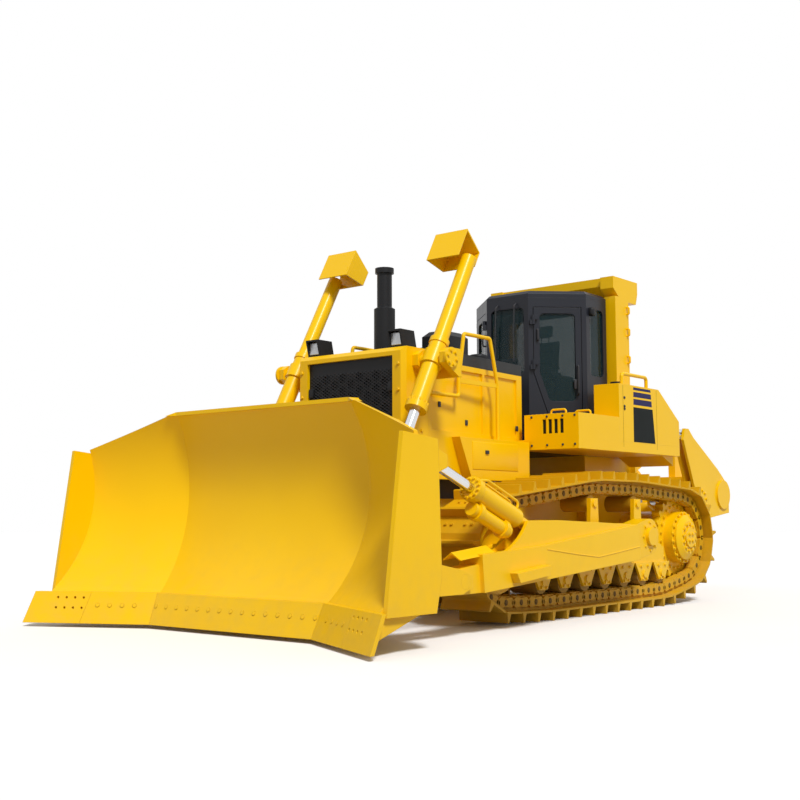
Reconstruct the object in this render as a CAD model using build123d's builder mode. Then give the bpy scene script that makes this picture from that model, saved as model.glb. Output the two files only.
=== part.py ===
"""Crawler bulldozer with a semi-U blade and a single-shank ripper, in millimetres.

The machine faces -Y, its left side is +X and the ground is Z = 0.
"""

import math
import os

from build123d import *

# Track chain and its wheels
track_gauge = 2500
shoe_width = 610
shoe_pitch = 280
shoe_count = 41
shoe_plate = 22
shoe_gap = 8
shoe_groove = 14
grouser_height = 93
grouser_rake = 8
grouser_base = 56
grouser_tip = 26
link_above_pin = 85
link_below_pin = 65
link_notch = 36
link_notch_depth = 28
rail_width = 75
rail_spacing = 250
sprocket_y = 2070
sprocket_z = 830
sprocket_teeth = 23
tooth_root = 48
tooth_tip = 10
sprocket_ring = 110
drive_radius = 330
drive_inner = 760
drive_dome = 80
dome_radius = 290
cap_radius = 130
cap_height = 24
tooth_tip_share = 0.14
tooth_root_share = 0.34
idler_lift = 25
idler_rail_radius = 430
idler_gap = 3
idler_half_width = 135
idler_rim = 95
idler_web = 55
idler_hub = 100
roller_radius = 125
roller_count = 7
roller_half_width = 170
first_roller_y = -1320
last_roller_y = 1400
carrier_radius = 110
carrier_ys = (-274, 748)
carrier_z = 1250

# Track frames
frame_width = 360
frame_bottom = 540
frame_top = 800
frame_gap = 50
wheel_gap = 12
roller_seat = 0.3
frame_slope = 200
nose_drop = 80
fork_plate = 40
fork_half = 110
bogie_plate = 30
bogie_low = 320
bogie_foot = 75
saddle_half = 260
saddle_top_half = 150
post_foot = 110
post_head = 80
post_plate = 50
post_above = 60

# Push arms, with the trunnion at the rear and the blade pin in front
trunnion_y = 330
trunnion_z = 870
trunnion_radius = 105
arm_x = 1760
arm_width = 280
arm_low_front = -145
arm_low_rear = -226
arm_flange_front = 215
arm_flange_mid = 174
arm_flange_at = 2385
arm_rear_at = 330
arm_nose = 300
arm_eye_radius = 120
trunnion_eye = 205
trunnion_cap = 40
blade_pin_y = -3345
blade_pin_z = 510
blade_pin_radius = 70
arm_eye_width = 190
eye_gap = 4
pin_gap = 0.3
scoop_start = 3110
scoop_end = 2535
scoop_top = 440
scoop_mid = (2740, 275)
hump_at = 1996
hump_top = 394
hump_half_width = 110
hump_wall = 40
step_from = 2330
step_to = 2960
step_up = -20
step_height = 100
step_width = 85
angle_guard_from = 3130
angle_guard_to = 3690
angle_guard_rise = 75
angle_guard_half = 110
angle_guard_plate = 20

# Blade
blade_top_z = 2194
blade_top_y = -4178
blade_hollow = 223
blade_plate = 45
deep_z = 1150
wing_angle = 27
kink_x = 1205
blade_half_width = 2277
wing_end_z = 1809
end_plate = 45
end_plate_front = 722
end_plate_nose = 512
end_plate_rear = 72
edge_reach = 378
edge_foot_z = 40
edge_top_z = 350
edge_plate = 45
edge_lean = 130
edge_gap = 3
edge_seat_z = 120
bit_length = 559
bit_half_width = 2350
bit_hole = 26
bit_hole_spacing = 95
bit_row_spacing = 100
rib_depth = 60
rib_plate = 40
rib_zs = (440, 585)
ear_plate = 50
ear_reach = 110
ear_root = 250
lift_ear_gap = 60
tilt_ear_gap = 55

# Blade lift cylinders
lift_x = 980
yoke_y = -2620
yoke_z = 2720
lift_eye_y = -3560
lift_eye_z = 1000
lift_barrel_radius = 95
lift_upper_radius = 82
lift_rod_radius = 55
lift_eye_radius = 85
lift_gland_at = 620
lift_gland_length = 75
lift_gland_rim = 20
lift_upper_at = -250
lift_top_at = -1333
lift_clamp_at = -180
lift_clamp = 60
yoke_half = 80
yoke_pin_radius = 55
yoke_gap = 45
yoke_clear = 145
yoke_plate = 80
yoke_boss_radius = 105
yoke_boss = 25
cover_in = 392
cover_out = 42
cover_low = 1204
cover_ridge = 1560
cover_front = 215
cover_rear_high = 1467
cover_rear_low = 1272
cover_sheet = 12

# Blade tilt cylinders
tilt_x = 1760
tilt_base_y = -1960
tilt_base_z = 950
tilt_eye_y = -3660
tilt_eye_z = 1610
tilt_barrel_radius = 100
tilt_rod_radius = 50
tilt_eye_radius = 82
tilt_pin_radius = 50
tilt_barrel_at = 380
tilt_gland_at = 1180
tilt_gland_length = 80
tilt_gland_rim = 22
tilt_neck_radius = 60
tilt_guard_drop = 175
tilt_guard_radius = 72
tilt_guard_from = 470
tilt_guard_to = 1100
tilt_guard_strap = 60

# Hull, hood and guards
hull_half_width = 520
hull_bottom = 610
hull_top = 1300
hull_front = -2430
hull_rear = 2150
hull_slope = 420
hull_rise = 130
case_half_width = 640
case_front = 950
cross_tube_radius = 190
equalizer_y = -900
equalizer_depth = 240
equalizer_height = 160
pivot_y = 900
engine_half_width = 380
guard_half_width = 765
guard_front = -2837
guard_rear = -2430
guard_bottom = 1000
guard_top = 2863
guard_chamfer = 45
grille_margin = 155
grille_foot = 260
grille_head = 90
grille_depth = 40
grille_plate = 35
grille_band = 175
grille_hex = 58
grille_web = 22
grille_columns = 9
grille_rows = 10
tow_radius = 36
tow_reach = 85
tow_half_width = 110
tow_height = 140
tow_rise = 60
hood_top = 2890
hood_bottom = 2760
hood_rear = -480
hood_rear_half_width = 640
sheet = 12
side_bottom = 1500
side_thickness = 60
side_rim = 60
side_recess = 22
side_split_y = -1330
side_post = 45
skirt_top = 1960
skirt_out = 80
skirt_front = -1990
skirt_rear = -640
skirt_cut = 220
exhaust_x = -170
exhaust_y = -2040
exhaust_shroud_radius = 120
exhaust_shroud = 560
exhaust_pipe_radius = 85
exhaust_pipe = 470
exhaust_lip = 22
exhaust_lip_height = 60
exhaust_wall = 15
intake_x = 315
intake_y = -1545
intake_size = (330, 430)
intake_height = 300
intake_chamfer = 60
cap_x = 420
cap_y = -1050
hood_cap_radius = 110
hood_cap_height = 90
lamp_x = 590
lamp_width = 180
lamp_depth = 230
lamp_height = 190
lamp_visor = 45
lamp_rim = 18
rail_radius = 22
rail_bar = 50
rail_ys = (-1960, -1860, -1370, -1225)
rail_zs = (2400, 2570, 3095)

# Fenders and tanks
deck_z = 1990
deck_plate = 120
case_top = deck_z - deck_plate
fender_front = -610
fender_half_width = 1490
fender_inner = 660
box_inset = 100
box_top = 2280
box_rear = 330
slot_x = 1010
slot_count = 4
slot_width = 48
slot_spacing = 78
slot_height = 165
slot_depth = 60
gusset_depth = 300
tank_inner = 1150
tank_rear = 1900
tank_top = 2690
slant_y = 1346
slant_z = 2316
tank_gap = 30
tank_rail_rise = 130
tank_rail_length = 620

# Cab
cab_front = 176
cab_front_half = 317
cab_half_width = 850
cab_shoulder = 690
cab_rear = 1190
cab_bottom = 2290
cab_top = 3850
cab_wall = 50
roof_thickness = 90
roof_chamfer = 40
glass = 10
door_jamb = 60
door_gap = 8
door_rake = 190
door_frame = 75
belt_z = 2890
sill_rise = 40
head_drop = 120
door_window_z = 2538
window_radius = 60
front_window_rise = 600
front_window_margin = 65
side_window_z = 2870
side_window_margin = 85
rear_window_margin = 200
hinge_out = 24
hinge_radius = 22
hinge_pin = 12
hinge_height = 60
hinge_zs = (2990, 3560)
seat_y = 770
seat_width = 520
seat_depth = 500
seat_base = 350
seat_cushion = 130
seat_back = 670
seat_back_thickness = 100
seat_lean = 90

# Roll-over frame
rops_half_width = 963
rops_front = 1240
rops_rear = 1840
rops_top = 4200
rops_overhang = 46
post_rear = 1590
rops_beam = 300
rops_face = 155
rops_end = 190
rops_slim = 110
post_width = 160
post_flange = 40
post_flange_height = 50
rops_gusset = 260

# Ripper: the arm and the tilt cylinders form a parallelogram
ripper_arm_y = 2740
ripper_arm_z = 900
beam_pivot_y = 4230
beam_pivot_z = 1330
beam_ear_y = 3790
beam_ear_z = 2290
ripper_lift_y = 2330
ripper_lift_z = 1500
lug_y = 3550
lug_z = 1340
bracket_plate = 40
bracket_half_width = 707
lug_plate = 40
lug_radius = 110
lug_root = 150
side_plate = 40
ripper_inner = 643
ripper_fork = 562
ripper_disc_radius = 220
ripper_disc = 25
ripper_arm_x = 425
ripper_arm_half = 51
ripper_arm_depth = 220
ripper_lift_x = 270
ripper_tilt_x = 603
cross_at = 0.7
arm_cross_radius = 100
pocket_front = 330
pocket_low = 1075
pocket_high = 1700
pocket_rear_low = 1150
pocket_rear_high = 1560
shank_back = 620
shank_depth = 400
shank_thickness = 110
shank_top = 2250
shank_front_z = 700
shank_front_bend_z = 300
shank_rear_z = 800
shank_rear_bend_z = 420
shank_bend = 220
shank_tip_z = 120
shank_tip_reach = 560
shank_tooth = 430
shank_tooth_z = 150
ripper_pin_radius = 60
ripper_eye_radius = 95
ripper_lift_radius = 55
ripper_tilt_radius = 60
ripper_rod_radius = 38
ripper_rod_half = 45
ripper_barrel_end = 800
ripper_bore_from = 120
ripper_rod_from = 420

os.makedirs("parts", exist_ok=True)


def face(points, plane):
    """A flat face with straight sides on a plane."""
    with BuildSketch(plane) as outline:
        with BuildLine():
            Polyline(*points, close=True)
        make_face()
    return outline.sketch


def ring(outer, inner, plane):
    """A flat face between two closed outlines on a plane."""
    with BuildSketch(plane) as outline:
        with BuildLine():
            Polyline(*outer, close=True)
        make_face()
        with BuildLine():
            Polyline(*inner, close=True)
        make_face(mode=Mode.SUBTRACT)
    return outline.sketch


def plate(points, x_from, x_to, mode=Mode.ADD):
    """A plate of a side-view outline, given as (y, z) points, between two widths."""
    extrude(face(points, Plane.YZ.offset(x_from)), amount=x_to - x_from, mode=mode)


def slab(points, z_from, z_to, mode=Mode.ADD):
    """A block of a plan outline, given as (x, y) points, between two heights."""
    extrude(face(points, Plane.XY.offset(z_from)), amount=z_to - z_from, mode=mode)


def block(xs, ys, zs, mode=Mode.ADD):
    """A plain box between two widths, two lengths and two heights."""
    slab([(xs[0], ys[0]), (xs[1], ys[0]), (xs[1], ys[1]), (xs[0], ys[1])], *zs, mode=mode)


def bar(y, z, radius, x_from, x_to, mode=Mode.ADD):
    """A round bar across the machine."""
    with BuildSketch(Plane.YZ.offset(x_from)) as section:
        with Locations((y, z)):
            Circle(radius)
    extrude(section.sketch, amount=x_to - x_from, mode=mode)


def turned(points, y, z):
    """A round piece on a cross axis, from the (x, radius) points of its half section."""
    level = Plane(origin=(0, y, z), x_dir=(1, 0, 0), z_dir=(0, -1, 0))
    revolve(face(points, level), axis=Axis((0, y, z), (1, 0, 0)))


def rod(x, start, end, radius, near, far, mode=Mode.ADD):
    """A round rod on the line from start to end, between two distances from start."""
    run = Vector(0, end[0] - start[0], end[1] - start[1]).normalized()
    foot = Vector(x, *start) + run * near
    with BuildSketch(Plane(origin=foot, z_dir=run)) as section:
        Circle(radius)
    extrude(section.sketch, amount=far - near, mode=mode)


def tube(points, radius, bend):
    """A bent round tube along straight runs."""
    with BuildLine() as path:
        FilletPolyline(*points, radius=bend)
    with BuildSketch(Plane(origin=path.line @ 0, z_dir=path.line % 0)) as section:
        Circle(radius)
    sweep(section.sketch, path=path.line)


def save(piece, name):
    """Names a piece and writes it."""
    piece.part.label = name
    export_step(piece.part, f"parts/{name}.step")


def save_pair(piece, name):
    """Writes a left-hand piece and its mirror image."""
    save(piece, f"{name}_left")
    with BuildPart() as opposite:
        mirror(piece.part, about=Plane.YZ)
    save(opposite, f"{name}_right")


# Track loop: a band round the idler, the carrier rollers, the sprocket and the track rollers
pitch_z = grouser_height + shoe_plate + link_above_pin
roller_z = pitch_z + link_below_pin + roller_radius
sprocket_radius = shoe_pitch / 2 / math.sin(2 * math.pi / sprocket_teeth)
idler_radius = idler_rail_radius + link_below_pin
idler_z = pitch_z + idler_lift + idler_radius


def wheels(idler_y):
    """Pitch circles that the chain goes round, in order, from the front roller."""
    low = roller_radius + link_below_pin
    high = carrier_radius + link_below_pin
    return [
        (first_roller_y, roller_z, low),
        (last_roller_y, roller_z, low),
        (sprocket_y, sprocket_z, sprocket_radius),
        (carrier_ys[1], carrier_z, high),
        (carrier_ys[0], carrier_z, high),
        (idler_y, idler_z, idler_radius),
    ]


def band(circles):
    """Normal and length of each straight run, and the angle turned on the circle after it."""
    runs = []
    for (y, z, r), (y_next, z_next, r_next) in zip(circles, circles[1:] + circles[:1]):
        span = math.hypot(y_next - y, z_next - z)
        heading = math.atan2(z_next - z, y_next - y)
        normal = heading - math.pi / 2 + math.asin((r - r_next) / span)
        runs.append((normal, math.sqrt(span**2 - (r - r_next) ** 2)))
    turns = []
    for (normal, _), (after, _) in zip(runs, runs[1:] + runs[:1]):
        turns.append((after - normal) % (2 * math.pi))
    return runs, turns


def band_length(circles):
    """Length of the whole band."""
    runs, turns = band(circles)
    arcs = sum(turn * circle[2] for turn, circle in zip(turns, circles[1:] + circles[:1]))
    return sum(length for _, length in runs) + arcs


def chain_pins(circles, count):
    """Evenly spaced pins on the band, each as its place and outward normal angle."""
    runs, turns = band(circles)
    step = band_length(circles) / count
    pins = []
    reach = 0.0
    for (y, z, r), (normal, length), turn, wheel in zip(
        circles, runs, turns, circles[1:] + circles[:1]
    ):
        along = normal + math.pi / 2
        while reach < length:
            pin_y = y + r * math.cos(normal) + reach * math.cos(along)
            pin_z = z + r * math.sin(normal) + reach * math.sin(along)
            pins.append((pin_y, pin_z, normal))
            reach += step
        reach -= length
        while reach < turn * wheel[2]:
            angle = normal + reach / wheel[2]
            pin_y = wheel[0] + wheel[2] * math.cos(angle)
            pin_z = wheel[1] + wheel[2] * math.sin(angle)
            pins.append((pin_y, pin_z, angle))
            reach += step
        reach -= turn * wheel[2]
    return pins[:count]


# The track adjuster slides the idler forward until the chain is taut
idler_y = first_roller_y
for slide in (100, 10, 1, 0.1):
    while band_length(wheels(idler_y - slide)) < shoe_count * shoe_pitch:
        idler_y -= slide
pins = chain_pins(wheels(idler_y), shoe_count)
shoe_top = link_above_pin + shoe_plate


def offset_loop(distance):
    """The chain's pins, moved out by a distance."""
    return [(y + distance * math.cos(a), z + distance * math.sin(a)) for y, z, a in pins]


def along_chain(profile):
    """A profile of (along, out) points from each pin to the next, repeated round the chain."""
    points = []
    for (y, z, _), (y_next, z_next, _) in zip(pins, pins[1:] + pins[:1]):
        run = math.hypot(y_next - y, z_next - z)
        t_y = (y_next - y) / run
        t_z = (z_next - z) / run
        for s, h in profile:
            s = s * run / shoe_pitch
            points.append((y + s * t_y + h * t_z, z + s * t_z - h * t_y))
    return points


shoe_profile = [
    (0, shoe_top - shoe_groove),
    (shoe_gap, shoe_top),
    (shoe_gap + grouser_rake, shoe_top + grouser_height),
    (shoe_gap + grouser_rake + grouser_tip, shoe_top + grouser_height),
    (shoe_gap + grouser_rake + grouser_base, shoe_top),
    (shoe_pitch - shoe_gap, shoe_top),
]
link_profile = [
    (0, link_notch_depth - link_below_pin),
    (link_notch, -link_below_pin),
    (shoe_pitch - link_notch, -link_below_pin),
]
track_x = track_gauge / 2
with BuildPart() as track:
    shoes = ring(along_chain(shoe_profile), offset_loop(link_above_pin),
                 Plane.YZ.offset(track_x - shoe_width / 2))
    extrude(shoes, amount=shoe_width)
    for rail_x in (track_x - rail_spacing / 2, track_x + rail_spacing / 2):
        links = ring(offset_loop(link_above_pin), along_chain(link_profile),
                     Plane.YZ.offset(rail_x - rail_width / 2))
        extrude(links, amount=rail_width)
save_pair(track, "track")

# Idlers: a tread under each of the chain's rails and a flange that runs between them
rail_inside = rail_spacing - rail_width
link_sag = idler_radius - math.sqrt(idler_radius**2 - (shoe_pitch / 2) ** 2)
idler_tread = idler_rail_radius - link_sag - idler_gap
idler_flange = rail_inside / 2 - idler_gap
with BuildPart() as idlers:
    half_section = [
        (idler_half_width, 0),
        (idler_half_width, idler_hub),
        (idler_web, idler_hub),
        (idler_web, idler_tread - idler_rim),
        (idler_half_width, idler_tread - idler_rim),
        (idler_half_width, idler_tread),
        (idler_flange, idler_tread),
        (idler_flange, idler_rail_radius),
    ]
    mirrored = [(-x, r) for x, r in reversed(half_section)]
    turned([(track_x + x, r) for x, r in half_section + mirrored], idler_y, idler_z)
    bar(idler_y, idler_z, idler_hub, track_x - frame_width / 2 + fork_plate,
        track_x + frame_width / 2 - fork_plate)
    mirror(about=Plane.YZ)
save(idlers, "idlers")

# Sprockets: a toothed ring between the rails, bolted to its domed final drive
drive_face = track_x + frame_width / 2
with BuildPart() as sprockets:
    teeth = []
    step = 2 * math.pi / sprocket_teeth
    for index in range(sprocket_teeth):
        for share, radius in (
            (-tooth_root_share, sprocket_radius - tooth_root),
            (-tooth_tip_share, sprocket_radius + tooth_tip),
            (tooth_tip_share, sprocket_radius + tooth_tip),
            (tooth_root_share, sprocket_radius - tooth_root),
        ):
            angle = (index + share) * step
            teeth.append((sprocket_y + radius * math.cos(angle), sprocket_z + radius * math.sin(angle)))
    plate(teeth, track_x - sprocket_ring / 2, track_x + sprocket_ring / 2)
    turned([
        (drive_inner, 0),
        (drive_inner, drive_radius),
        (drive_face, drive_radius),
        (drive_face, dome_radius),
        (drive_face + drive_dome / 2, dome_radius),
        (drive_face + drive_dome, dome_radius - drive_dome),
        (drive_face + drive_dome, cap_radius),
        (drive_face + drive_dome + cap_height, cap_radius),
        (drive_face + drive_dome + cap_height, 0),
    ], sprocket_y, sprocket_z)
    mirror(about=Plane.YZ)
save(sprockets, "sprockets")

# Track frames with the idler forks, the bogie cheeks, the carrier posts and the arms' trunnions
frame_front = idler_y + idler_rail_radius + frame_gap
frame_rear = sprocket_y - sprocket_radius - frame_gap
frame_in = track_x - frame_width / 2
frame_out = track_x + frame_width / 2
roller_spacing = (last_roller_y - first_roller_y) / (roller_count - 1)
roller_ys = [first_roller_y + index * roller_spacing for index in range(roller_count)]
cheek_in = roller_half_width + roller_seat
with BuildPart() as track_frames:
    plate([
        (frame_front, frame_bottom),
        (frame_rear, frame_bottom),
        (frame_rear, frame_top - nose_drop),
        (frame_rear - frame_slope, frame_top),
        (frame_front + frame_slope, frame_top),
        (frame_front, frame_top - nose_drop),
    ], frame_in, frame_out)
    fork = [
        (idler_y - fork_half, idler_z - fork_half),
        (frame_front, frame_bottom),
        (frame_front, frame_top - nose_drop),
        (idler_y - fork_half, idler_z + fork_half),
    ]
    plate(fork, frame_in, frame_in + fork_plate)
    plate(fork, frame_out - fork_plate, frame_out)
    for roller_y in roller_ys:
        bogie = [
            (roller_y - bogie_foot, bogie_low),
            (roller_y + bogie_foot, bogie_low),
            (roller_y + roller_spacing / 2 - wheel_gap, frame_bottom),
            (roller_y - roller_spacing / 2 + wheel_gap, frame_bottom),
        ]
        for side in (-1, 1):
            plate(bogie, track_x + side * cheek_in, track_x + side * (cheek_in + bogie_plate))
    plate([
        (trunnion_y - saddle_half, frame_bottom),
        (trunnion_y + saddle_half, frame_bottom),
        (trunnion_y + saddle_top_half, trunnion_z + saddle_top_half),
        (trunnion_y - saddle_top_half, trunnion_z + saddle_top_half),
    ], track_x, frame_out + trunnion_cap)
    bar(trunnion_y, trunnion_z, trunnion_radius, frame_out, arm_x + arm_width / 2)
    for carrier_y in carrier_ys:
        plate([
            (carrier_y - post_foot, frame_top - nose_drop),
            (carrier_y + post_foot, frame_top - nose_drop),
            (carrier_y + post_head, carrier_z + post_above),
            (carrier_y - post_head, carrier_z + post_above),
        ], frame_out, frame_out + post_plate)
    mirror(about=Plane.YZ)
save(track_frames, "track_frames")

# Track rollers between the bogie cheeks, and carrier rollers on their posts
with BuildPart() as rollers:
    for roller_y in roller_ys:
        clear = wheel_gap if roller_y in (roller_ys[0], roller_ys[-1]) else roller_seat
        bar(roller_y, roller_z, roller_radius - clear, track_x - roller_half_width,
            track_x + roller_half_width)
    for carrier_y in carrier_ys:
        bar(carrier_y, carrier_z, carrier_radius - wheel_gap, track_x - roller_half_width, frame_out)
    mirror(about=Plane.YZ)
save(rollers, "rollers")

# Hull with the drive case at the rear, and the equalizer and pivot bars across the track frames
with BuildPart() as main_frame:
    plate([
        (hull_front, hull_bottom + hull_rise),
        (hull_front + hull_slope, hull_bottom),
        (hull_rear - hull_slope, hull_bottom),
        (hull_rear, hull_bottom + hull_rise),
        (hull_rear, hull_top),
        (hull_front, hull_top),
    ], -hull_half_width, hull_half_width)
    plate([
        (case_front, hull_bottom + hull_rise),
        (hull_rear, hull_bottom + hull_rise),
        (hull_rear, case_top),
        (case_front, case_top),
    ], -case_half_width, case_half_width)
    tube_z = hull_bottom + hull_rise + cross_tube_radius
    bar(hull_rear - cross_tube_radius, tube_z, cross_tube_radius, -drive_inner, drive_inner)
    for bar_y in (equalizer_y, pivot_y):
        block((-frame_in, frame_in), (bar_y, bar_y + equalizer_depth),
              (frame_bottom + post_above, frame_bottom + post_above + equalizer_height))
save(main_frame, "main_frame")

# Engine, as one plain mass inside its enclosure
with BuildPart() as engine_block:
    block((-engine_half_width, engine_half_width), (guard_rear + grille_foot, hood_rear - grille_foot),
          (hull_top, hood_bottom - grille_foot))
save(engine_block, "engine_block")

# Radiator guard with the grille's opening, its sides cut for the brackets, and the tow eye
opening_half = guard_half_width - grille_margin
opening_bottom = guard_bottom + grille_foot
opening_top = guard_top - grille_head
with BuildPart() as radiator_guard:
    block((-guard_half_width, guard_half_width), (guard_front, guard_rear), (guard_bottom, guard_top))
    front_edges = radiator_guard.edges().filter_by(Axis.Z).group_by(Axis.Y)[0]
    top_edge = radiator_guard.edges().filter_by(Axis.X).group_by(Axis.Z)[-1].sort_by(Axis.Y)[0]
    chamfer(front_edges + [top_edge], guard_chamfer)
    block((-opening_half, opening_half), (guard_front, guard_rear), (opening_bottom, opening_top),
          mode=Mode.SUBTRACT)
    tow_bottom = guard_bottom + tow_rise
    slab([(-tow_half_width, guard_front), (-tow_half_width + tow_radius, guard_front - 2 * tow_reach),
          (tow_half_width - tow_radius, guard_front - 2 * tow_reach), (tow_half_width, guard_front)],
         tow_bottom, tow_bottom + tow_height)
    with BuildSketch(Plane.XY.offset(tow_bottom)) as tow_hole:
        with Locations((0, guard_front - tow_reach)):
            Circle(tow_radius)
    extrude(tow_hole.sketch, amount=tow_height, mode=Mode.SUBTRACT)
save(radiator_guard, "radiator_guard")

# Yoke brackets bolted to the guard's sides, each with a boss on both sides of its cylinder
inner_face = lift_x - lift_barrel_radius - yoke_gap
outer_face = lift_x + lift_barrel_radius + yoke_gap
bracket_rear = guard_rear
bracket_web = yoke_y + yoke_clear
with BuildPart() as yoke_brackets:
    bracket = [
        (bracket_rear, yoke_z - yoke_half - yoke_boss_radius),
        (bracket_rear, yoke_z + yoke_boss_radius),
        (yoke_y, yoke_z + yoke_boss_radius),
        (yoke_y - yoke_half, yoke_z + yoke_pin_radius),
        (yoke_y - yoke_half, yoke_z - yoke_pin_radius),
        (bracket_web, yoke_z - yoke_half - yoke_boss_radius),
    ]
    plate(bracket, guard_half_width, inner_face)
    plate(bracket, outer_face, outer_face + yoke_plate)
    block((guard_half_width, outer_face + yoke_plate), (bracket_web, bracket_rear),
          (yoke_z - yoke_half - yoke_boss_radius, yoke_z - yoke_pin_radius))
    bar(yoke_y, yoke_z, yoke_boss_radius, outer_face + yoke_plate, outer_face + yoke_plate + yoke_boss)
    bar(yoke_y, yoke_z, yoke_pin_radius + pin_gap, guard_half_width, outer_face + yoke_plate, Mode.SUBTRACT)
    mirror(about=Plane.YZ)
save(yoke_brackets, "yoke_brackets")

# Grille set into the guard's opening: a blank band above a hexagonal mesh
mesh_top = opening_top - grille_band
with BuildPart() as grille:
    grille_plane = Plane.XZ.offset(-guard_front - grille_depth)
    with BuildSketch(grille_plane) as mesh:
        with Locations((0, (opening_bottom + opening_top) / 2)):
            Rectangle(2 * opening_half, opening_top - opening_bottom)
        with Locations((0, (opening_bottom + mesh_top) / 2)):
            with HexLocations(grille_hex + grille_web / 2, grille_columns, grille_rows):
                RegularPolygon(grille_hex, 6, mode=Mode.SUBTRACT)
    extrude(mesh.sketch, amount=-grille_plate)
save(grille, "grille")

# Hood, a shallow tray with a tapered plan
with BuildPart() as hood:
    slab([(-guard_half_width, guard_rear), (guard_half_width, guard_rear),
          (hood_rear_half_width, hood_rear), (-hood_rear_half_width, hood_rear)], hood_bottom, hood_top)
    offset(amount=-sheet, openings=hood.faces().sort_by(Axis.Z)[0])
save(hood, "hood")

# Engine side panels below the hood, each with two recessed doors above a skirt
taper = Vector(hood_rear_half_width - guard_half_width, hood_rear - guard_rear, 0)
side_plane = Plane(origin=(guard_half_width, guard_rear, 0), x_dir=taper.normalized(),
                   z_dir=Vector(taper.Y, -taper.X, 0).normalized())
side_length = taper.length
split_at = side_split_y - guard_rear
with BuildPart() as engine_sides:
    slab([(guard_half_width - side_thickness, guard_rear), (guard_half_width, guard_rear),
          (hood_rear_half_width, hood_rear), (hood_rear_half_width - side_thickness, hood_rear)],
         side_bottom, hood_bottom)
    door_low = skirt_top + side_rim
    door_high = hood_bottom - side_rim
    with BuildSketch(side_plane) as recesses:
        for near, far in ((side_rim, split_at - side_post / 2), (split_at + side_post / 2,
                                                                side_length - 2 * side_rim)):
            with Locations(((near + far) / 2, (door_low + door_high) / 2)):
                Rectangle(far - near, door_high - door_low)
    extrude(recesses.sketch, amount=-side_recess, mode=Mode.SUBTRACT)
    skirt = [
        (skirt_front, skirt_top),
        (skirt_rear, skirt_top),
        (skirt_rear, side_bottom),
        (skirt_front + skirt_cut, side_bottom),
    ]
    plate(skirt, hood_rear_half_width, guard_half_width + skirt_out)
    mirror(about=Plane.YZ)
save(engine_sides, "engine_sides")


# Handrails: a bent tube loop beside the hood, from the guard's side to the skirt
rail_x = guard_half_width + skirt_out - rail_radius - sheet
rail_nose = guard_rear - rail_bar
with BuildPart() as handrails:
    tube([(guard_half_width, rail_nose, rail_zs[0]), (rail_x, rail_nose, rail_zs[0]),
          (rail_x, rail_ys[0], rail_zs[0]), (rail_x, rail_ys[0], rail_zs[1]),
          (rail_x, rail_ys[1], rail_zs[2]), (rail_x, rail_ys[2], rail_zs[2]),
          (rail_x, rail_ys[3], rail_zs[1]), (rail_x, rail_ys[3], skirt_top)],
         rail_radius, rail_radius + sheet)
    block((rail_x - sheet / 2, rail_x + sheet / 2), (rail_ys[0], rail_ys[3]),
          (rail_zs[1] - rail_bar / 2, rail_zs[1] + rail_bar / 2))
    mirror(about=Plane.YZ)
save(handrails, "handrails")

# Exhaust stack: a wide shroud, a narrower pipe with a lip, and an open bore
with BuildPart() as exhaust_stack:
    shroud_top = hood_top + exhaust_shroud
    pipe_top = shroud_top + exhaust_pipe
    half_outline = [
        (0, hood_top),
        (exhaust_shroud_radius, hood_top),
        (exhaust_shroud_radius, shroud_top),
        (exhaust_pipe_radius, shroud_top + exhaust_lip),
        (exhaust_pipe_radius, pipe_top - exhaust_lip_height),
        (exhaust_pipe_radius + exhaust_lip, pipe_top - exhaust_lip_height),
        (exhaust_pipe_radius + exhaust_lip, pipe_top),
        (exhaust_pipe_radius - exhaust_wall, pipe_top),
        (exhaust_pipe_radius - exhaust_wall, shroud_top),
        (0, shroud_top),
    ]
    stack_plane = Plane(origin=(exhaust_x, exhaust_y, 0), x_dir=(1, 0, 0), z_dir=(0, -1, 0))
    revolve(face(half_outline, stack_plane), axis=Axis((exhaust_x, exhaust_y, 0), (0, 0, 1)))
save(exhaust_stack, "exhaust_stack")

# Air intake box and the round cap beside it on the hood
with BuildPart() as air_intake:
    with BuildSketch(Plane.XY.offset(hood_top)) as intake_foot:
        with Locations((intake_x, intake_y)):
            Rectangle(*intake_size)
    extrude(intake_foot.sketch, amount=intake_height)
    chamfer(air_intake.edges().group_by(Axis.Z)[-1], intake_chamfer)
    with BuildSketch(Plane.XY.offset(hood_top)) as cap_foot:
        with Locations((cap_x, cap_y)):
            Circle(hood_cap_radius)
    extrude(cap_foot.sketch, amount=hood_cap_height)
    fillet(air_intake.edges().filter_by(GeomType.CIRCLE).sort_by(Axis.Z)[-1], hood_cap_height / 3)
save(air_intake, "air_intake")

# Head lamps on the radiator guard, each under its own visor
with BuildPart() as head_lamps:
    lamp_front = guard_front + guard_chamfer + lamp_visor
    lamp_top = guard_top + lamp_height
    plate([
        (lamp_front, guard_top),
        (lamp_front - lamp_visor, lamp_top - lamp_rim),
        (lamp_front - lamp_visor, lamp_top),
        (lamp_front + lamp_depth - lamp_visor, lamp_top),
        (lamp_front + lamp_depth, guard_top),
    ], lamp_x - lamp_width / 2, lamp_x + lamp_width / 2)
    plate([
        (lamp_front - lamp_visor, guard_top + lamp_rim),
        (lamp_front - lamp_visor, lamp_top - lamp_rim),
        (lamp_front + lamp_visor, lamp_top - lamp_rim),
        (lamp_front + lamp_visor, guard_top + lamp_rim),
    ], lamp_x - lamp_width / 2 + lamp_rim, lamp_x + lamp_width / 2 - lamp_rim, Mode.SUBTRACT)
    mirror(about=Plane.YZ)
save(head_lamps, "head_lamps")

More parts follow.
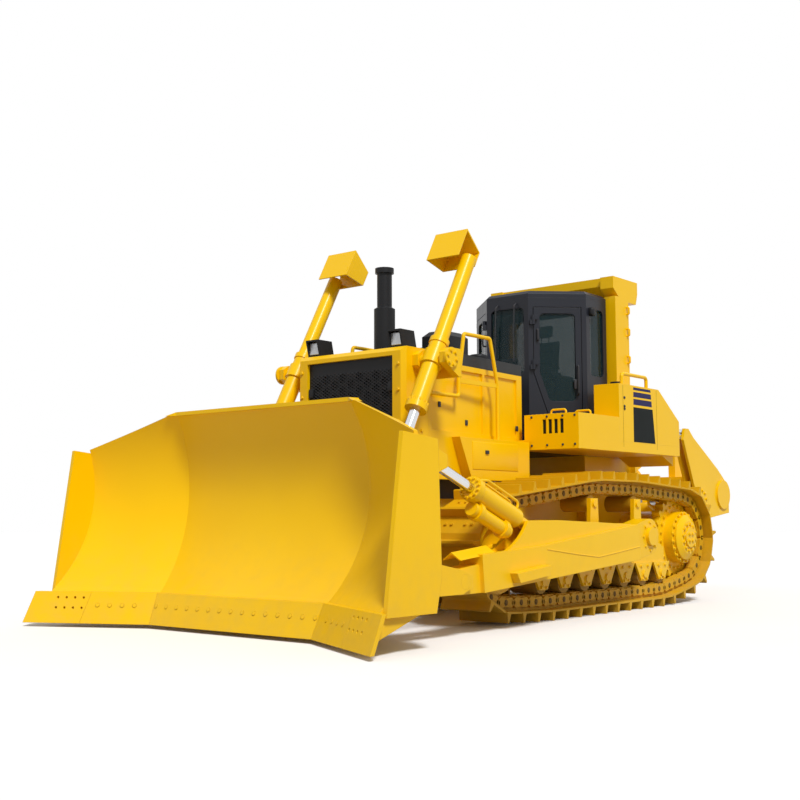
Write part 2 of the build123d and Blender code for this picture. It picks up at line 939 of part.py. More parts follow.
# Fenders: a deck over each track, a box in front with its air slots, and a gusset below
with BuildPart() as fenders:
    block((fender_inner, fender_half_width), (fender_front, tank_rear), (case_top, deck_z))
    block((fender_inner + box_inset, fender_half_width), (fender_front, box_rear), (deck_z, box_top))
    for index in range(slot_count):
        low_x = slot_x + index * slot_spacing
        slot_z = (deck_z + box_top) / 2
        block((low_x, low_x + slot_width), (fender_front, fender_front + slot_depth),
              (slot_z - slot_height / 2, slot_z + slot_height / 2), Mode.SUBTRACT)
    plate([
        (tank_rear - gusset_depth, case_top),
        (tank_rear, case_top),
        (tank_rear, case_top - deck_plate),
    ], fender_inner + box_inset, fender_half_width - box_inset)
    mirror(about=Plane.YZ)
save(fenders, "fenders")

# Side tanks with their slanted rear
with BuildPart() as side_tanks:
    plate([
        (box_rear, deck_z),
        (tank_rear, deck_z),
        (tank_rear, slant_z),
        (slant_y, tank_top),
        (box_rear, tank_top),
    ], tank_inner, fender_half_width)
    rail_y = box_rear + tank_rail_rise
    tank_rail_x = fender_half_width - tank_gap
    tube([(tank_rail_x, rail_y, tank_top), (tank_rail_x, rail_y, tank_top + tank_rail_rise),
          (tank_rail_x, rail_y + tank_rail_length, tank_top + tank_rail_rise),
          (tank_rail_x, rail_y + tank_rail_length, tank_top)], rail_radius, 2 * rail_radius)
    mirror(about=Plane.YZ)
save(side_tanks, "side_tanks")

# Rear tank across the machine, behind the cab
with BuildPart() as rear_tank:
    plate([
        (cab_rear + tank_gap, deck_z),
        (tank_rear, deck_z),
        (tank_rear, slant_z),
        (post_rear + tank_gap, tank_top),
        (cab_rear + tank_gap, tank_top),
    ], -tank_inner, tank_inner)
save(rear_tank, "rear_tank")

# Cab floor and base over the hull
cab_plan = [
    (-cab_front_half, cab_front),
    (cab_front_half, cab_front),
    (cab_half_width, cab_shoulder),
    (cab_half_width, cab_rear),
    (-cab_half_width, cab_rear),
    (-cab_half_width, cab_shoulder),
]
with BuildPart() as cab_floor:
    slab(cab_plan, deck_z, cab_bottom)
    block((-fender_inner, fender_inner), (hood_rear + tank_gap, tank_rear), (case_top, deck_z))
save(cab_floor, "cab_floor")

# Cab walls: six-sided in plan, open at the two door bays, with the windows cut
door_run = Vector(cab_half_width - cab_front_half, cab_shoulder - cab_front, 0)
door_length = door_run.length
door_way = door_run.normalized()
door_out = Vector(door_way.Y, -door_way.X, 0)
door_plane = Plane(origin=(cab_front_half, cab_front, 0), x_dir=door_way, z_dir=door_out)
sill_z = cab_bottom + sill_rise
head_z = cab_top - head_drop


def door_shape(inset, low_z, radius=0):
    """Outline of the door or its window: upright in front down to the belt, then raked back."""
    rake = door_rake * (belt_z - low_z) / (belt_z - sill_z)
    front = door_jamb + inset
    rear = door_length - door_jamb - inset
    with BuildSketch(Plane.XY) as shape:
        with BuildLine():
            Polyline((front, belt_z), (front + rake, low_z), (rear, low_z), (rear, head_z - inset),
                     (front, head_z - inset), close=True)
        make_face()
        if radius:
            fillet(shape.vertices(), radius)
    return shape.sketch


def on_door(shape, depth, thickness, mode=Mode.ADD):
    """A door outline made solid, from a depth inside the door's outer face."""
    with BuildSketch(door_plane.offset(-depth)) as placed:
        add(shape)
    extrude(placed.sketch, amount=-thickness, mode=mode)


def hinge_plane(z):
    """Level plane on the door's hinge line, with its x along the door and its y into the cab."""
    return Plane(origin=(hinge_spot.X, hinge_spot.Y, z), x_dir=door_way, z_dir=(0, 0, 1))


hinge_spot = Vector(cab_front_half, cab_front, 0) + door_way * door_jamb + door_out * hinge_out
lug_sink = hinge_out / 2 - sheet / 2
with BuildPart() as door_bay:
    on_door(door_shape(0, sill_z), -cab_wall, 3 * cab_wall)
with BuildPart() as hinge_lugs:
    for hinge_z in hinge_zs:
        with BuildSketch(hinge_plane(hinge_z - hinge_height)):
            Circle(hinge_radius)
            with Locations((-hinge_radius, lug_sink)):
                Rectangle(2 * hinge_radius, hinge_out + sheet)
        extrude(amount=hinge_height)
        with BuildSketch(hinge_plane(hinge_z)):
            Circle(hinge_pin)
        extrude(amount=hinge_height)


def window(width, low_z, high_z, centre=0):
    """A window with rounded corners, as its (across, up) face."""
    with BuildSketch(Plane.XY) as shape:
        with Locations((centre, (low_z + high_z) / 2)):
            RectangleRounded(width, high_z - low_z, window_radius)
    return shape.sketch


def on_plane(shape, plane, amount, mode=Mode.ADD):
    """A face set on a plane and made solid."""
    with BuildSketch(plane) as placed:
        add(shape)
    extrude(placed.sketch, amount=amount, mode=mode)


front_plane = Plane.XZ.offset(-cab_front)
rear_plane = Plane.XZ.offset(-cab_rear)
left_plane = Plane.YZ.offset(cab_half_width)
right_plane = Plane.YZ.offset(-cab_half_width)
front_window = window(2 * (cab_front_half - front_window_margin), cab_bottom + front_window_rise, head_z)
rear_window = window(2 * (cab_half_width - rear_window_margin), side_window_z, head_z)
side_window = window(cab_rear - cab_shoulder - 2 * side_window_margin, side_window_z, head_z,
                     (cab_shoulder + cab_rear) / 2)
with BuildPart() as cab_walls:
    with BuildSketch(Plane.XY.offset(cab_bottom)):
        with BuildLine():
            Polyline(*cab_plan, close=True)
        make_face()
        offset(amount=-cab_wall, mode=Mode.SUBTRACT)
    extrude(amount=cab_top - cab_bottom)
    add(door_bay.part, mode=Mode.SUBTRACT)
    mirror(door_bay.part, about=Plane.YZ, mode=Mode.SUBTRACT)
    add(hinge_lugs.part)
    mirror(hinge_lugs.part, about=Plane.YZ)
    on_plane(front_window, front_plane, -cab_wall, Mode.SUBTRACT)
    on_plane(rear_window, rear_plane, cab_wall, Mode.SUBTRACT)
    on_plane(side_window, left_plane, -cab_wall, Mode.SUBTRACT)
    on_plane(side_window, right_plane, cab_wall, Mode.SUBTRACT)
save(cab_walls, "cab_walls")

# Cab roof, with its top edges bevelled
with BuildPart() as cab_roof:
    slab(cab_plan, cab_top, cab_top + roof_thickness)
    chamfer(cab_roof.edges().group_by(Axis.Z)[-1], roof_chamfer)
save(cab_roof, "cab_roof")

# Fixed panes, set in the walls' openings
pane_depth = (cab_wall - glass) / 2
with BuildPart() as cab_glass:
    on_plane(front_window, front_plane.offset(-pane_depth), -glass)
    on_plane(rear_window, rear_plane.offset(pane_depth), glass)
    on_plane(side_window, left_plane.offset(-pane_depth), -glass)
    on_plane(side_window, right_plane.offset(pane_depth), glass)
save(cab_glass, "cab_glass")

# Door leaf in the slanted bay, hinged at its front edge, with its window
door_window = door_shape(door_gap + door_frame, door_window_z, window_radius)
with BuildPart() as cab_door:
    on_door(door_shape(door_gap, sill_z + door_gap), 0, cab_wall)
    on_door(door_window, 0, cab_wall, Mode.SUBTRACT)
    for hinge_z in hinge_zs:
        with BuildSketch(hinge_plane(hinge_z + pin_gap)) as knuckle:
            Circle(hinge_radius)
            with Locations((hinge_radius + sheet / 2, lug_sink)):
                Rectangle(2 * hinge_radius + sheet, hinge_out + sheet)
            Circle(hinge_pin + pin_gap, mode=Mode.SUBTRACT)
        extrude(knuckle.sketch, amount=hinge_height)
save_pair(cab_door, "cab_door")
with BuildPart() as door_glass:
    on_door(door_window, pane_depth, glass)
save_pair(door_glass, "door_glass")

# Operator seat on its pedestal
with BuildPart() as operator_seat:
    cushion_z = cab_bottom + seat_base
    back_z = cushion_z + seat_cushion
    seat_front = seat_y - seat_depth / 2
    seat_rear = seat_y + seat_depth / 2
    block((-seat_width / 4, seat_width / 4), (seat_y - seat_depth / 4, seat_y + seat_depth / 4),
          (cab_bottom, cushion_z))
    block((-seat_width / 2, seat_width / 2), (seat_front, seat_rear), (cushion_z, back_z))
    plate([(seat_rear - seat_back_thickness, back_z), (seat_rear, back_z),
           (seat_rear + seat_lean, back_z + seat_back),
           (seat_rear + seat_lean - seat_back_thickness, back_z + seat_back)],
          -seat_width / 2, seat_width / 2)
save(operator_seat, "operator_seat")

# Roll-over frame: two posts on the rear tank, and a cross beam with deep ends
with BuildPart() as rops:
    beam_front = rops_front - rops_overhang
    beam_low = rops_top - rops_beam
    end = [
        (beam_front, rops_top),
        (beam_front, rops_top - rops_face),
        (rops_front + rops_face, beam_low),
        (rops_rear - rops_overhang, beam_low),
        (rops_rear, rops_top - rops_face),
        (rops_rear, rops_top),
    ]
    middle = [
        (beam_front + rops_overhang, rops_top),
        (beam_front + rops_overhang, rops_top - rops_slim),
        (rops_front + rops_face, beam_low + rops_overhang),
        (rops_rear - rops_overhang, beam_low + rops_overhang),
        (rops_rear - rops_overhang, rops_top),
    ]
    plate(middle, 0, rops_half_width)
    plate(end, rops_half_width - rops_end, rops_half_width)
    post_in = rops_half_width - post_width
    block((post_in, rops_half_width), (rops_front, post_rear), (tank_top, beam_low + rops_overhang))
    block((post_in - post_flange, rops_half_width + post_flange),
          (rops_front - post_flange, post_rear + post_flange / 2), (tank_top, tank_top + post_flange_height))
    corner = [
        (post_in, beam_low + rops_overhang),
        (post_in - rops_gusset, beam_low + rops_overhang),
        (post_in, beam_low + rops_overhang - rops_gusset),
    ]
    extrude(face(corner, Plane.XZ.offset(-rops_front - rops_face)), amount=-post_width)
    mirror(about=Plane.YZ)
save(rops, "rops")

# Push arms: box beams with a trunnion eye, a blade eye, a step, and a hump for the tilt cylinder
arm_run = Vector(blade_pin_y - trunnion_y, blade_pin_z - trunnion_z).normalized()
arm_up = Vector(arm_run.Y, -arm_run.X)
arm_length = math.hypot(blade_pin_y - trunnion_y, blade_pin_z - trunnion_z)


def on_arm(along, up):
    """A point of the arm's side view, from the trunnion along the arm."""
    spot = Vector(trunnion_y, trunnion_z) + arm_run * along + arm_up * up
    return (spot.X, spot.Y)


arm_front = arm_length - arm_nose
with BuildPart() as push_arms:
    plate([on_arm(arm_rear_at, arm_low_rear), on_arm(arm_front, arm_low_front),
           on_arm(arm_front, arm_flange_front), on_arm(arm_flange_at, arm_flange_mid),
           on_arm(arm_rear_at, arm_flange_mid)], arm_x - arm_width / 2, arm_x + arm_width / 2)
    with BuildSketch(Plane.YZ.offset(arm_x - hump_half_width)) as hump:
        with BuildLine():
            ThreePointArc(on_arm(scoop_start, arm_flange_mid), on_arm(*scoop_mid),
                          on_arm(scoop_end, scoop_top))
            Polyline(on_arm(scoop_end, scoop_top), on_arm(hump_at, hump_top),
                     on_arm(arm_rear_at, arm_flange_mid), on_arm(arm_rear_at, 0), on_arm(scoop_start, 0),
                     on_arm(scoop_start, arm_flange_mid))
        make_face()
    extrude(hump.sketch, amount=2 * hump_half_width)
    slot_half = hump_half_width - hump_wall
    plate([on_arm(hump_at, arm_flange_mid), on_arm(scoop_start, arm_flange_mid),
           on_arm(scoop_start, scoop_top), on_arm(hump_at, scoop_top)],
          arm_x - slot_half, arm_x + slot_half, Mode.SUBTRACT)
    plate([on_arm(0, -trunnion_eye), on_arm(arm_rear_at, arm_low_rear),
           on_arm(arm_rear_at, arm_flange_mid), on_arm(0, trunnion_eye)],
          arm_x - arm_width / 2 + trunnion_cap, arm_x + arm_width / 2 - trunnion_cap)
    bar(trunnion_y, trunnion_z, trunnion_eye, arm_x - arm_width / 2 + trunnion_cap,
        arm_x + arm_width / 2 - trunnion_cap)
    plate([on_arm(arm_front, arm_low_front), on_arm(arm_length, -arm_eye_radius),
           on_arm(arm_length, arm_eye_radius), on_arm(arm_front, arm_eye_radius)],
          arm_x - arm_eye_width / 2, arm_x + arm_eye_width / 2)
    bar(blade_pin_y, blade_pin_z, arm_eye_radius, arm_x - arm_eye_width / 2, arm_x + arm_eye_width / 2)
    bar(trunnion_y, trunnion_z, trunnion_radius + pin_gap, arm_x - arm_width, arm_x + arm_width,
        Mode.SUBTRACT)
    bar(blade_pin_y, blade_pin_z, blade_pin_radius + pin_gap, arm_x - arm_width, arm_x + arm_width,
        Mode.SUBTRACT)
    bar(tilt_base_y, tilt_base_z, tilt_pin_radius, arm_x - hump_half_width, arm_x + hump_half_width)
    plate([on_arm(step_from, step_up), on_arm(step_to, step_up),
           on_arm(step_to - step_height / 2, step_up - step_height),
           on_arm(step_from + step_height / 2, step_up - step_height)],
          arm_x + arm_width / 2, arm_x + arm_width / 2 + step_width)
    guard_low = arm_flange_mid + (arm_flange_front - arm_flange_mid) / 2
    guard_start = on_arm(angle_guard_from, guard_low)
    guard_plane = Plane(origin=(arm_x, *guard_start), x_dir=(1, 0, 0), z_dir=(0, arm_run.X, arm_run.Y))
    ridge = angle_guard_rise - angle_guard_plate
    angle = [
        (-angle_guard_half, 0),
        (0, angle_guard_rise),
        (angle_guard_half, 0),
        (angle_guard_half - angle_guard_plate, 0),
        (0, ridge),
        (angle_guard_plate - angle_guard_half, 0),
    ]
    extrude(face(angle, guard_plane), amount=angle_guard_to - angle_guard_from)
    mirror(about=Plane.YZ)
save(push_arms, "push_arms")

# Blade: a curved mouldboard with forward wings, end plates, and a ribbed box back
edge_foot_y = blade_top_y - edge_reach
wing_out = math.radians(wing_angle)
kink_plane = Plane(origin=(kink_x, blade_top_y, 0), x_dir=(0, 0, 1),
                   z_dir=(math.cos(wing_out / 2), -math.sin(wing_out / 2), 0))
wing_plane = Plane(origin=(kink_x, blade_top_y, 0), x_dir=(math.sin(wing_out), math.cos(wing_out), 0),
                   z_dir=(math.cos(wing_out), -math.sin(wing_out), 0))
centre_plane = Plane(origin=(0, blade_top_y, 0), x_dir=(0, 1, 0), z_dir=(1, 0, 0))
wing_start = edge_reach + blade_hollow
wing_reach = (bit_half_width - kink_x) / math.cos(wing_out) + wing_start
box_back = blade_hollow + blade_plate + rib_depth
foot_back = box_back + rib_depth
upper_back = blade_hollow / 2 + 2 * blade_plate


def mouldboard_section(plane):
    """Section of the mouldboard and its box back, from the top edge's line."""
    foot = (edge_lean + edge_plate - edge_reach, edge_top_z)
    drop = (edge_top_z - edge_seat_z) / (edge_top_z - edge_foot_z)
    seat = (foot[0] - edge_lean * drop, edge_seat_z)
    with BuildSketch(plane) as section:
        with BuildLine():
            ThreePointArc(foot, (blade_hollow, deep_z), (0, blade_top_z))
            Polyline((0, blade_top_z), (blade_plate, blade_top_z), (upper_back, blade_top_z - ear_root),
                     (box_back, deep_z + ear_root), (box_back, deep_z - ear_root),
                     (foot_back, edge_top_z + ear_root),
                     (foot_back, edge_top_z), (seat[0] + blade_plate, edge_seat_z), seat, foot)
        make_face()
    return section.sketch


def rib_section(plane):
    """Sections of the ribs that run along the lower back."""
    with BuildSketch(plane) as section:
        for rib_z in rib_zs:
            with Locations((foot_back / 2 + rib_depth, rib_z)):
                Rectangle(foot_back, rib_plate)
        with Locations((rib_depth, blade_top_z - rib_plate / 2)):
            Rectangle(2 * rib_depth, rib_plate)
    return section.sketch


def edge_section(plane):
    """Section of a cutting edge, bolted to the mouldboard's foot."""
    return face([(-edge_reach, edge_foot_z), (edge_lean - edge_reach, edge_top_z),
                 (edge_lean + edge_plate - edge_reach, edge_top_z), (edge_plate - edge_reach, edge_foot_z)],
                plane)


with BuildPart() as half_centre:
    extrude(mouldboard_section(centre_plane), amount=kink_x + wing_start)
    extrude(rib_section(centre_plane), amount=kink_x + wing_start)
    split(bisect_by=kink_plane, keep=Keep.BOTTOM)
with BuildPart() as wing:
    extrude(mouldboard_section(wing_plane.offset(-wing_start)), amount=wing_reach + wing_start)
    extrude(rib_section(wing_plane.offset(-wing_start)), amount=wing_reach + wing_start)
    split(bisect_by=kink_plane, keep=Keep.TOP)
    split(bisect_by=Plane.YZ.offset(blade_half_width - end_plate), keep=Keep.BOTTOM)
    slope = math.atan2(blade_top_z - wing_end_z, blade_half_width - kink_x)
    split(bisect_by=Plane(origin=(kink_x, 0, blade_top_z), z_dir=(math.sin(slope), 0, math.cos(slope))),
          keep=Keep.BOTTOM)
end_low = edge_top_z - edge_plate
with BuildPart() as blade:
    add(half_centre.part)
    add(wing.part)
    plate([
        (blade_top_y - end_plate_front, end_low),
        (blade_top_y - end_plate_rear, end_low),
        (blade_top_y, edge_top_z + ear_root),
        (blade_top_y - end_plate, wing_end_z - end_plate),
        (blade_top_y - end_plate_nose, wing_end_z),
    ], blade_half_width - end_plate, blade_half_width)
    mirror(about=Plane.YZ)
save(blade, "blade")

# Ears welded to the blade's back for the arms, the lift cylinders and the tilt cylinders
arm_ear_in = arm_x - arm_eye_width / 2 - eye_gap
arm_ear_out = arm_x + arm_eye_width / 2 + eye_gap
centre_back = blade_top_y + box_back
wing_shift = math.tan(wing_out)


def wing_back(x, back):
    """Place of the wing's back at a width, from its depth behind the top edge."""
    return blade_top_y + back / math.cos(wing_out) - (x - kink_x) * wing_shift


def ear(root_low, root_high, eye_y, eye_z, low, high):
    """Outline of an ear, from its welded root to its rounded tip."""
    return [
        (root_low, eye_z - low),
        (eye_y - ear_reach / 3, eye_z - ear_reach),
        (eye_y + ear_reach, eye_z - ear_reach / 2),
        (eye_y + ear_reach, eye_z + ear_reach / 2),
        (eye_y - ear_reach / 3, eye_z + ear_reach),
        (root_high, eye_z + high),
    ]


with BuildPart() as blade_ears:
    for ear_x in (lift_x - lift_ear_gap - ear_plate, lift_x + lift_ear_gap):
        plate(ear(centre_back, centre_back, lift_eye_y, lift_eye_z, ear_root, ear_root), ear_x,
              ear_x + ear_plate)
    for ear_x in (arm_ear_in - ear_plate, arm_ear_out):
        root = wing_back(ear_x + ear_plate, box_back)
        plate(ear(root, root, blade_pin_y, blade_pin_z, ear_reach, ear_root), ear_x, ear_x + ear_plate)
    for ear_x in (tilt_x - tilt_ear_gap - ear_plate, tilt_x + tilt_ear_gap):
        root_low = wing_back(ear_x + ear_plate, blade_hollow + 3 * blade_plate / 2)
        root_high = wing_back(ear_x + ear_plate, blade_hollow + blade_plate / 2)
        plate(ear(root_low, root_high, tilt_eye_y, tilt_eye_z, ear_root, ear_reach), ear_x,
              ear_x + ear_plate)
    for side_part in (half_centre.part, wing.part):
        add(side_part, mode=Mode.SUBTRACT)
    bar(blade_pin_y, blade_pin_z, blade_pin_radius + pin_gap, arm_ear_in - ear_plate,
        arm_ear_out + ear_plate, Mode.SUBTRACT)
    mirror(about=Plane.YZ)
save(blade_ears, "blade_ears")

# Pins that hold the blade on the arms
with BuildPart() as blade_pins:
    bar(blade_pin_y, blade_pin_z, blade_pin_radius, arm_ear_in - ear_plate, arm_ear_out + ear_plate)
    mirror(about=Plane.YZ)
save(blade_pins, "blade_pins")

# Cutting edges bolted along the foot, one in the centre and one on each wing
bit_x = bit_half_width - bit_length
with BuildPart() as half_edge:
    extrude(edge_section(centre_plane), amount=kink_x + wing_start)
    split(bisect_by=kink_plane.offset(-edge_gap / 2), keep=Keep.BOTTOM)
    mirror(about=Plane.YZ)
with BuildPart() as wing_edge:
    extrude(edge_section(wing_plane.offset(-wing_start)), amount=wing_reach + wing_start)
    split(bisect_by=kink_plane.offset(edge_gap / 2), keep=Keep.TOP)
with BuildPart() as side_edges:
    add(wing_edge.part)
    split(bisect_by=Plane.YZ.offset(bit_x - edge_gap), keep=Keep.BOTTOM)
    mirror(about=Plane.YZ)
with BuildPart() as cutting_edges:
    add(half_edge.part)
    add(side_edges.part)
save(cutting_edges, "cutting_edges")

# End bits, each with two rows of bolt holes
with BuildPart() as end_bits:
    add(wing_edge.part)
    split(bisect_by=Plane.YZ.offset(bit_x), keep=Keep.TOP)
    split(bisect_by=Plane.YZ.offset(bit_half_width), keep=Keep.BOTTOM)
    bit_middle_x = bit_x + bit_length / 2 - bit_row_spacing
    bit_middle_y = edge_foot_y + edge_lean / 2 - (bit_middle_x - kink_x) * wing_shift
    bit_plane = Plane(origin=(bit_middle_x, bit_middle_y, (edge_foot_z + edge_top_z) / 2 + edge_plate),
                      x_dir=(math.cos(wing_out), -math.sin(wing_out), 0),
                      z_dir=(-math.sin(wing_out), -math.cos(wing_out), 0))
    with BuildSketch(bit_plane.offset(bit_length)) as bit_holes:
        with GridLocations(bit_hole_spacing, bit_row_spacing, 4, 2):
            Circle(bit_hole / 2)
    extrude(bit_holes.sketch, amount=-2 * bit_length, mode=Mode.SUBTRACT)
    mirror(about=Plane.YZ)
save(end_bits, "end_bits")

# Lift cylinders: barrels swing in the yoke brackets under sheet covers, rods pull on the blade's ears
yoke = (yoke_y, yoke_z)
lift_eye = (lift_eye_y, lift_eye_z)
lift_length = math.hypot(lift_eye_y - yoke_y, lift_eye_z - yoke_z)
lift_run = Vector(0, lift_eye_y - yoke_y, lift_eye_z - yoke_z).normalized()
lift_front = Vector(0, lift_run.Z, -lift_run.Y)


def on_lift(back, front):
    """A point of the lift cylinder's side view, from the yoke up along the barrel."""
    spot = Vector(0, yoke_y, yoke_z) - lift_run * back + lift_front * front
    return (spot.Y, spot.Z)


cover_back = lift_upper_radius + cover_sheet / 2
cover_bend = cover_back - cover_sheet
cover_outside = [
    on_lift(cover_low, cover_front),
    on_lift(cover_ridge, cover_front),
    on_lift(cover_rear_high, -cover_back),
    on_lift(cover_rear_low, -cover_back),
]
cover_inside = [
    on_lift(cover_rear_low, -cover_bend),
    on_lift(cover_rear_high - cover_sheet, -cover_bend),
    on_lift(cover_ridge - 2 * cover_sheet, cover_front - cover_sheet),
    on_lift(cover_low, cover_front - cover_sheet),
]
with BuildPart() as lift_barrel:
    rod(lift_x, yoke, lift_eye, lift_barrel_radius, lift_upper_at, lift_gland_at)
    rod(lift_x, yoke, lift_eye, lift_upper_radius, lift_top_at, lift_upper_at)
    rod(lift_x, yoke, lift_eye, lift_barrel_radius + lift_gland_rim, -yoke_half, yoke_half)
    rod(lift_x, yoke, lift_eye, lift_barrel_radius + lift_gland_rim, lift_gland_at - lift_gland_length,
        lift_gland_at)
    rod(lift_x, yoke, lift_eye, lift_barrel_radius + lift_gland_rim / 2, lift_clamp_at - lift_clamp,
        lift_clamp_at)
    bar(yoke_y, yoke_z, yoke_pin_radius, guard_half_width + eye_gap, outer_face + yoke_plate)
    plate(cover_outside + cover_inside, lift_x - cover_in, lift_x + cover_out)
    plate(cover_outside, lift_x - cover_in, lift_x - cover_in + cover_sheet)
    rod(lift_x, yoke, lift_eye, lift_rod_radius + pin_gap, lift_top_at + lift_rod_radius, lift_gland_at,
        Mode.SUBTRACT)
save_pair(lift_barrel, "lift_barrel")
with BuildPart() as lift_rod:
    rod(lift_x, yoke, lift_eye, lift_rod_radius, -yoke_half, lift_length - lift_rod_radius)
    bar(lift_eye_y, lift_eye_z, lift_eye_radius, lift_x - lift_ear_gap + eye_gap,
        lift_x + lift_ear_gap - eye_gap)
save_pair(lift_rod, "lift_rod")

# Tilt cylinders between the push arms and the blade, each with a round guard under its barrel
tilt_base = (tilt_base_y, tilt_base_z)
tilt_eye = (tilt_eye_y, tilt_eye_z)
tilt_length = math.hypot(tilt_eye_y - tilt_base_y, tilt_eye_z - tilt_base_z)
tilt_run = Vector(tilt_eye_y - tilt_base_y, tilt_eye_z - tilt_base_z).normalized()
guard_base = (tilt_base_y - tilt_run.Y * tilt_guard_drop, tilt_base_z + tilt_run.X * tilt_guard_drop)
guard_eye = (guard_base[0] + tilt_run.X, guard_base[1] + tilt_run.Y)
slot_eye = hump_half_width - hump_wall - eye_gap
tilt_bore_from = tilt_barrel_at + tilt_neck_radius
with BuildPart() as tilt_barrel:
    rod(tilt_x, tilt_base, tilt_eye, tilt_barrel_radius, tilt_barrel_at, tilt_gland_at)
    rod(tilt_x, tilt_base, tilt_eye, tilt_barrel_radius + tilt_gland_rim,
        tilt_gland_at - tilt_gland_length, tilt_gland_at)
    rod(tilt_x, tilt_base, tilt_eye, tilt_neck_radius, 0, tilt_barrel_at)
    rod(tilt_x, guard_base, guard_eye, tilt_guard_radius, tilt_guard_from, tilt_guard_to)
    for strap_at in (tilt_guard_from + tilt_guard_strap, tilt_guard_to - 2 * tilt_guard_strap):
        rod(tilt_x, guard_base, guard_eye, tilt_guard_radius + tilt_gland_rim, strap_at,
            strap_at + tilt_guard_strap)
    bar(tilt_base_y, tilt_base_z, tilt_eye_radius, tilt_x - slot_eye, tilt_x + slot_eye)
    bar(tilt_base_y, tilt_base_z, tilt_pin_radius + pin_gap, tilt_x - slot_eye, tilt_x + slot_eye,
        Mode.SUBTRACT)
    rod(tilt_x, tilt_base, tilt_eye, tilt_rod_radius + pin_gap, tilt_bore_from, tilt_gland_at, Mode.SUBTRACT)
save_pair(tilt_barrel, "tilt_barrel")
with BuildPart() as tilt_rod:
    rod(tilt_x, tilt_base, tilt_eye, tilt_rod_radius, tilt_gland_at - tilt_barrel_at,
        tilt_length - tilt_rod_radius)
    bar(tilt_eye_y, tilt_eye_z, tilt_eye_radius, tilt_x - tilt_ear_gap + eye_gap,
        tilt_x + tilt_ear_gap - eye_gap)
save_pair(tilt_rod, "tilt_rod")

# Ripper bracket plate bolted to the back of the drive case
ripper_tilt_y = ripper_arm_y + beam_ear_y - beam_pivot_y
ripper_tilt_z = ripper_arm_z + beam_ear_z - beam_pivot_z
bracket_face = hull_rear + bracket_plate
bracket_low = ripper_arm_z - lug_root
bracket_high = ripper_tilt_z + lug_root
with BuildPart() as ripper_bracket:
    block((-bracket_half_width, bracket_half_width), (hull_rear, bracket_face), (bracket_low, bracket_high))
save(ripper_bracket, "ripper_bracket")

# Lugs on the bracket: a pair each side for the arm, the lift cylinder and the tilt cylinder
lift_lane = ripper_arm_x - ripper_arm_half - eye_gap - lug_plate - ripper_lift_x
arm_lane = ripper_arm_half + eye_gap
tilt_lane = bracket_half_width - lug_plate - ripper_tilt_x
ripper_lanes = [
    (ripper_arm_x, arm_lane, ripper_arm_y, ripper_arm_z),
    (ripper_lift_x, lift_lane, ripper_lift_y, ripper_lift_z),
    (ripper_tilt_x, tilt_lane, ripper_tilt_y, ripper_tilt_z),
]
with BuildPart() as ripper_lugs:
    for lane_x, lane_half, eye_y, eye_z in ripper_lanes:
        lug = [
            (bracket_face, eye_z - lug_root),
            (eye_y, eye_z - lug_radius),
            (eye_y + lug_radius, eye_z - lug_radius / 2),
            (eye_y + lug_radius, eye_z + lug_radius / 2),
            (eye_y, eye_z + lug_radius),
            (bracket_face, eye_z + lug_root),
        ]
        plate(lug, lane_x - lane_half - lug_plate, lane_x - lane_half)
        plate(lug, lane_x + lane_half, lane_x + lane_half + lug_plate)
        bar(eye_y, eye_z, ripper_pin_radius + pin_gap, lane_x - lane_half - lug_plate,
            lane_x + lane_half + lug_plate, Mode.SUBTRACT)
    mirror(about=Plane.YZ)
save(ripper_lugs, "ripper_lugs")

# Pins through the bracket's lugs
with BuildPart() as ripper_lug_pins:
    for lane_x, lane_half, eye_y, eye_z in ripper_lanes:
        bar(eye_y, eye_z, ripper_pin_radius, lane_x - lane_half - lug_plate, lane_x + lane_half + lug_plate)
    mirror(about=Plane.YZ)
save(ripper_lug_pins, "ripper_lug_pins")

# Ripper arm: two side beams joined by a cross tube that carries the lift cylinders' lugs
ripper_run = Vector(beam_pivot_y - ripper_arm_y, beam_pivot_z - ripper_arm_z)
ripper_reach = ripper_run.length
ripper_way = ripper_run.normalized()
ripper_up = Vector(-ripper_way.Y, ripper_way.X)


def on_ripper_arm(along, up):
    """A point of the ripper arm's side view, from its front pivot."""
    spot = Vector(ripper_arm_y, ripper_arm_z) + ripper_way * along + ripper_up * up
    return (spot.X, spot.Y)


tube_y, tube_z = on_ripper_arm(ripper_reach * cross_at, 0)
arm_half_depth = ripper_arm_depth / 2
with BuildPart() as ripper_arm:
    low_x = ripper_arm_x - ripper_arm_half
    high_x = ripper_arm_x + ripper_arm_half
    plate([on_ripper_arm(0, -arm_half_depth), on_ripper_arm(ripper_reach, -arm_half_depth),
           on_ripper_arm(ripper_reach, arm_half_depth), on_ripper_arm(0, arm_half_depth)], low_x, high_x)
    for eye_y, eye_z in ((ripper_arm_y, ripper_arm_z), (beam_pivot_y, beam_pivot_z)):
        bar(eye_y, eye_z, arm_half_depth, low_x, high_x)
        bar(eye_y, eye_z, ripper_pin_radius + pin_gap, low_x, high_x, Mode.SUBTRACT)
    bar(tube_y, tube_z, arm_cross_radius, 0, low_x)
    lug = [
        (tube_y - ripper_pin_radius, tube_z - ripper_pin_radius),
        (tube_y + ripper_pin_radius, tube_z + ripper_pin_radius),
        (lug_y + ripper_pin_radius, lug_z + lift_eye_radius),
        (lug_y - ripper_pin_radius, lug_z + lift_eye_radius),
        (lug_y - lift_eye_radius, lug_z),
        (lug_y - ripper_pin_radius, lug_z - lift_eye_radius),
    ]
    for side in (-1, 1):
        near_x = ripper_lift_x + side * (ripper_rod_half + eye_gap)
        plate(lug, near_x, near_x + side * lug_plate)
    mirror(about=Plane.YZ)
save(ripper_arm, "ripper_arm")

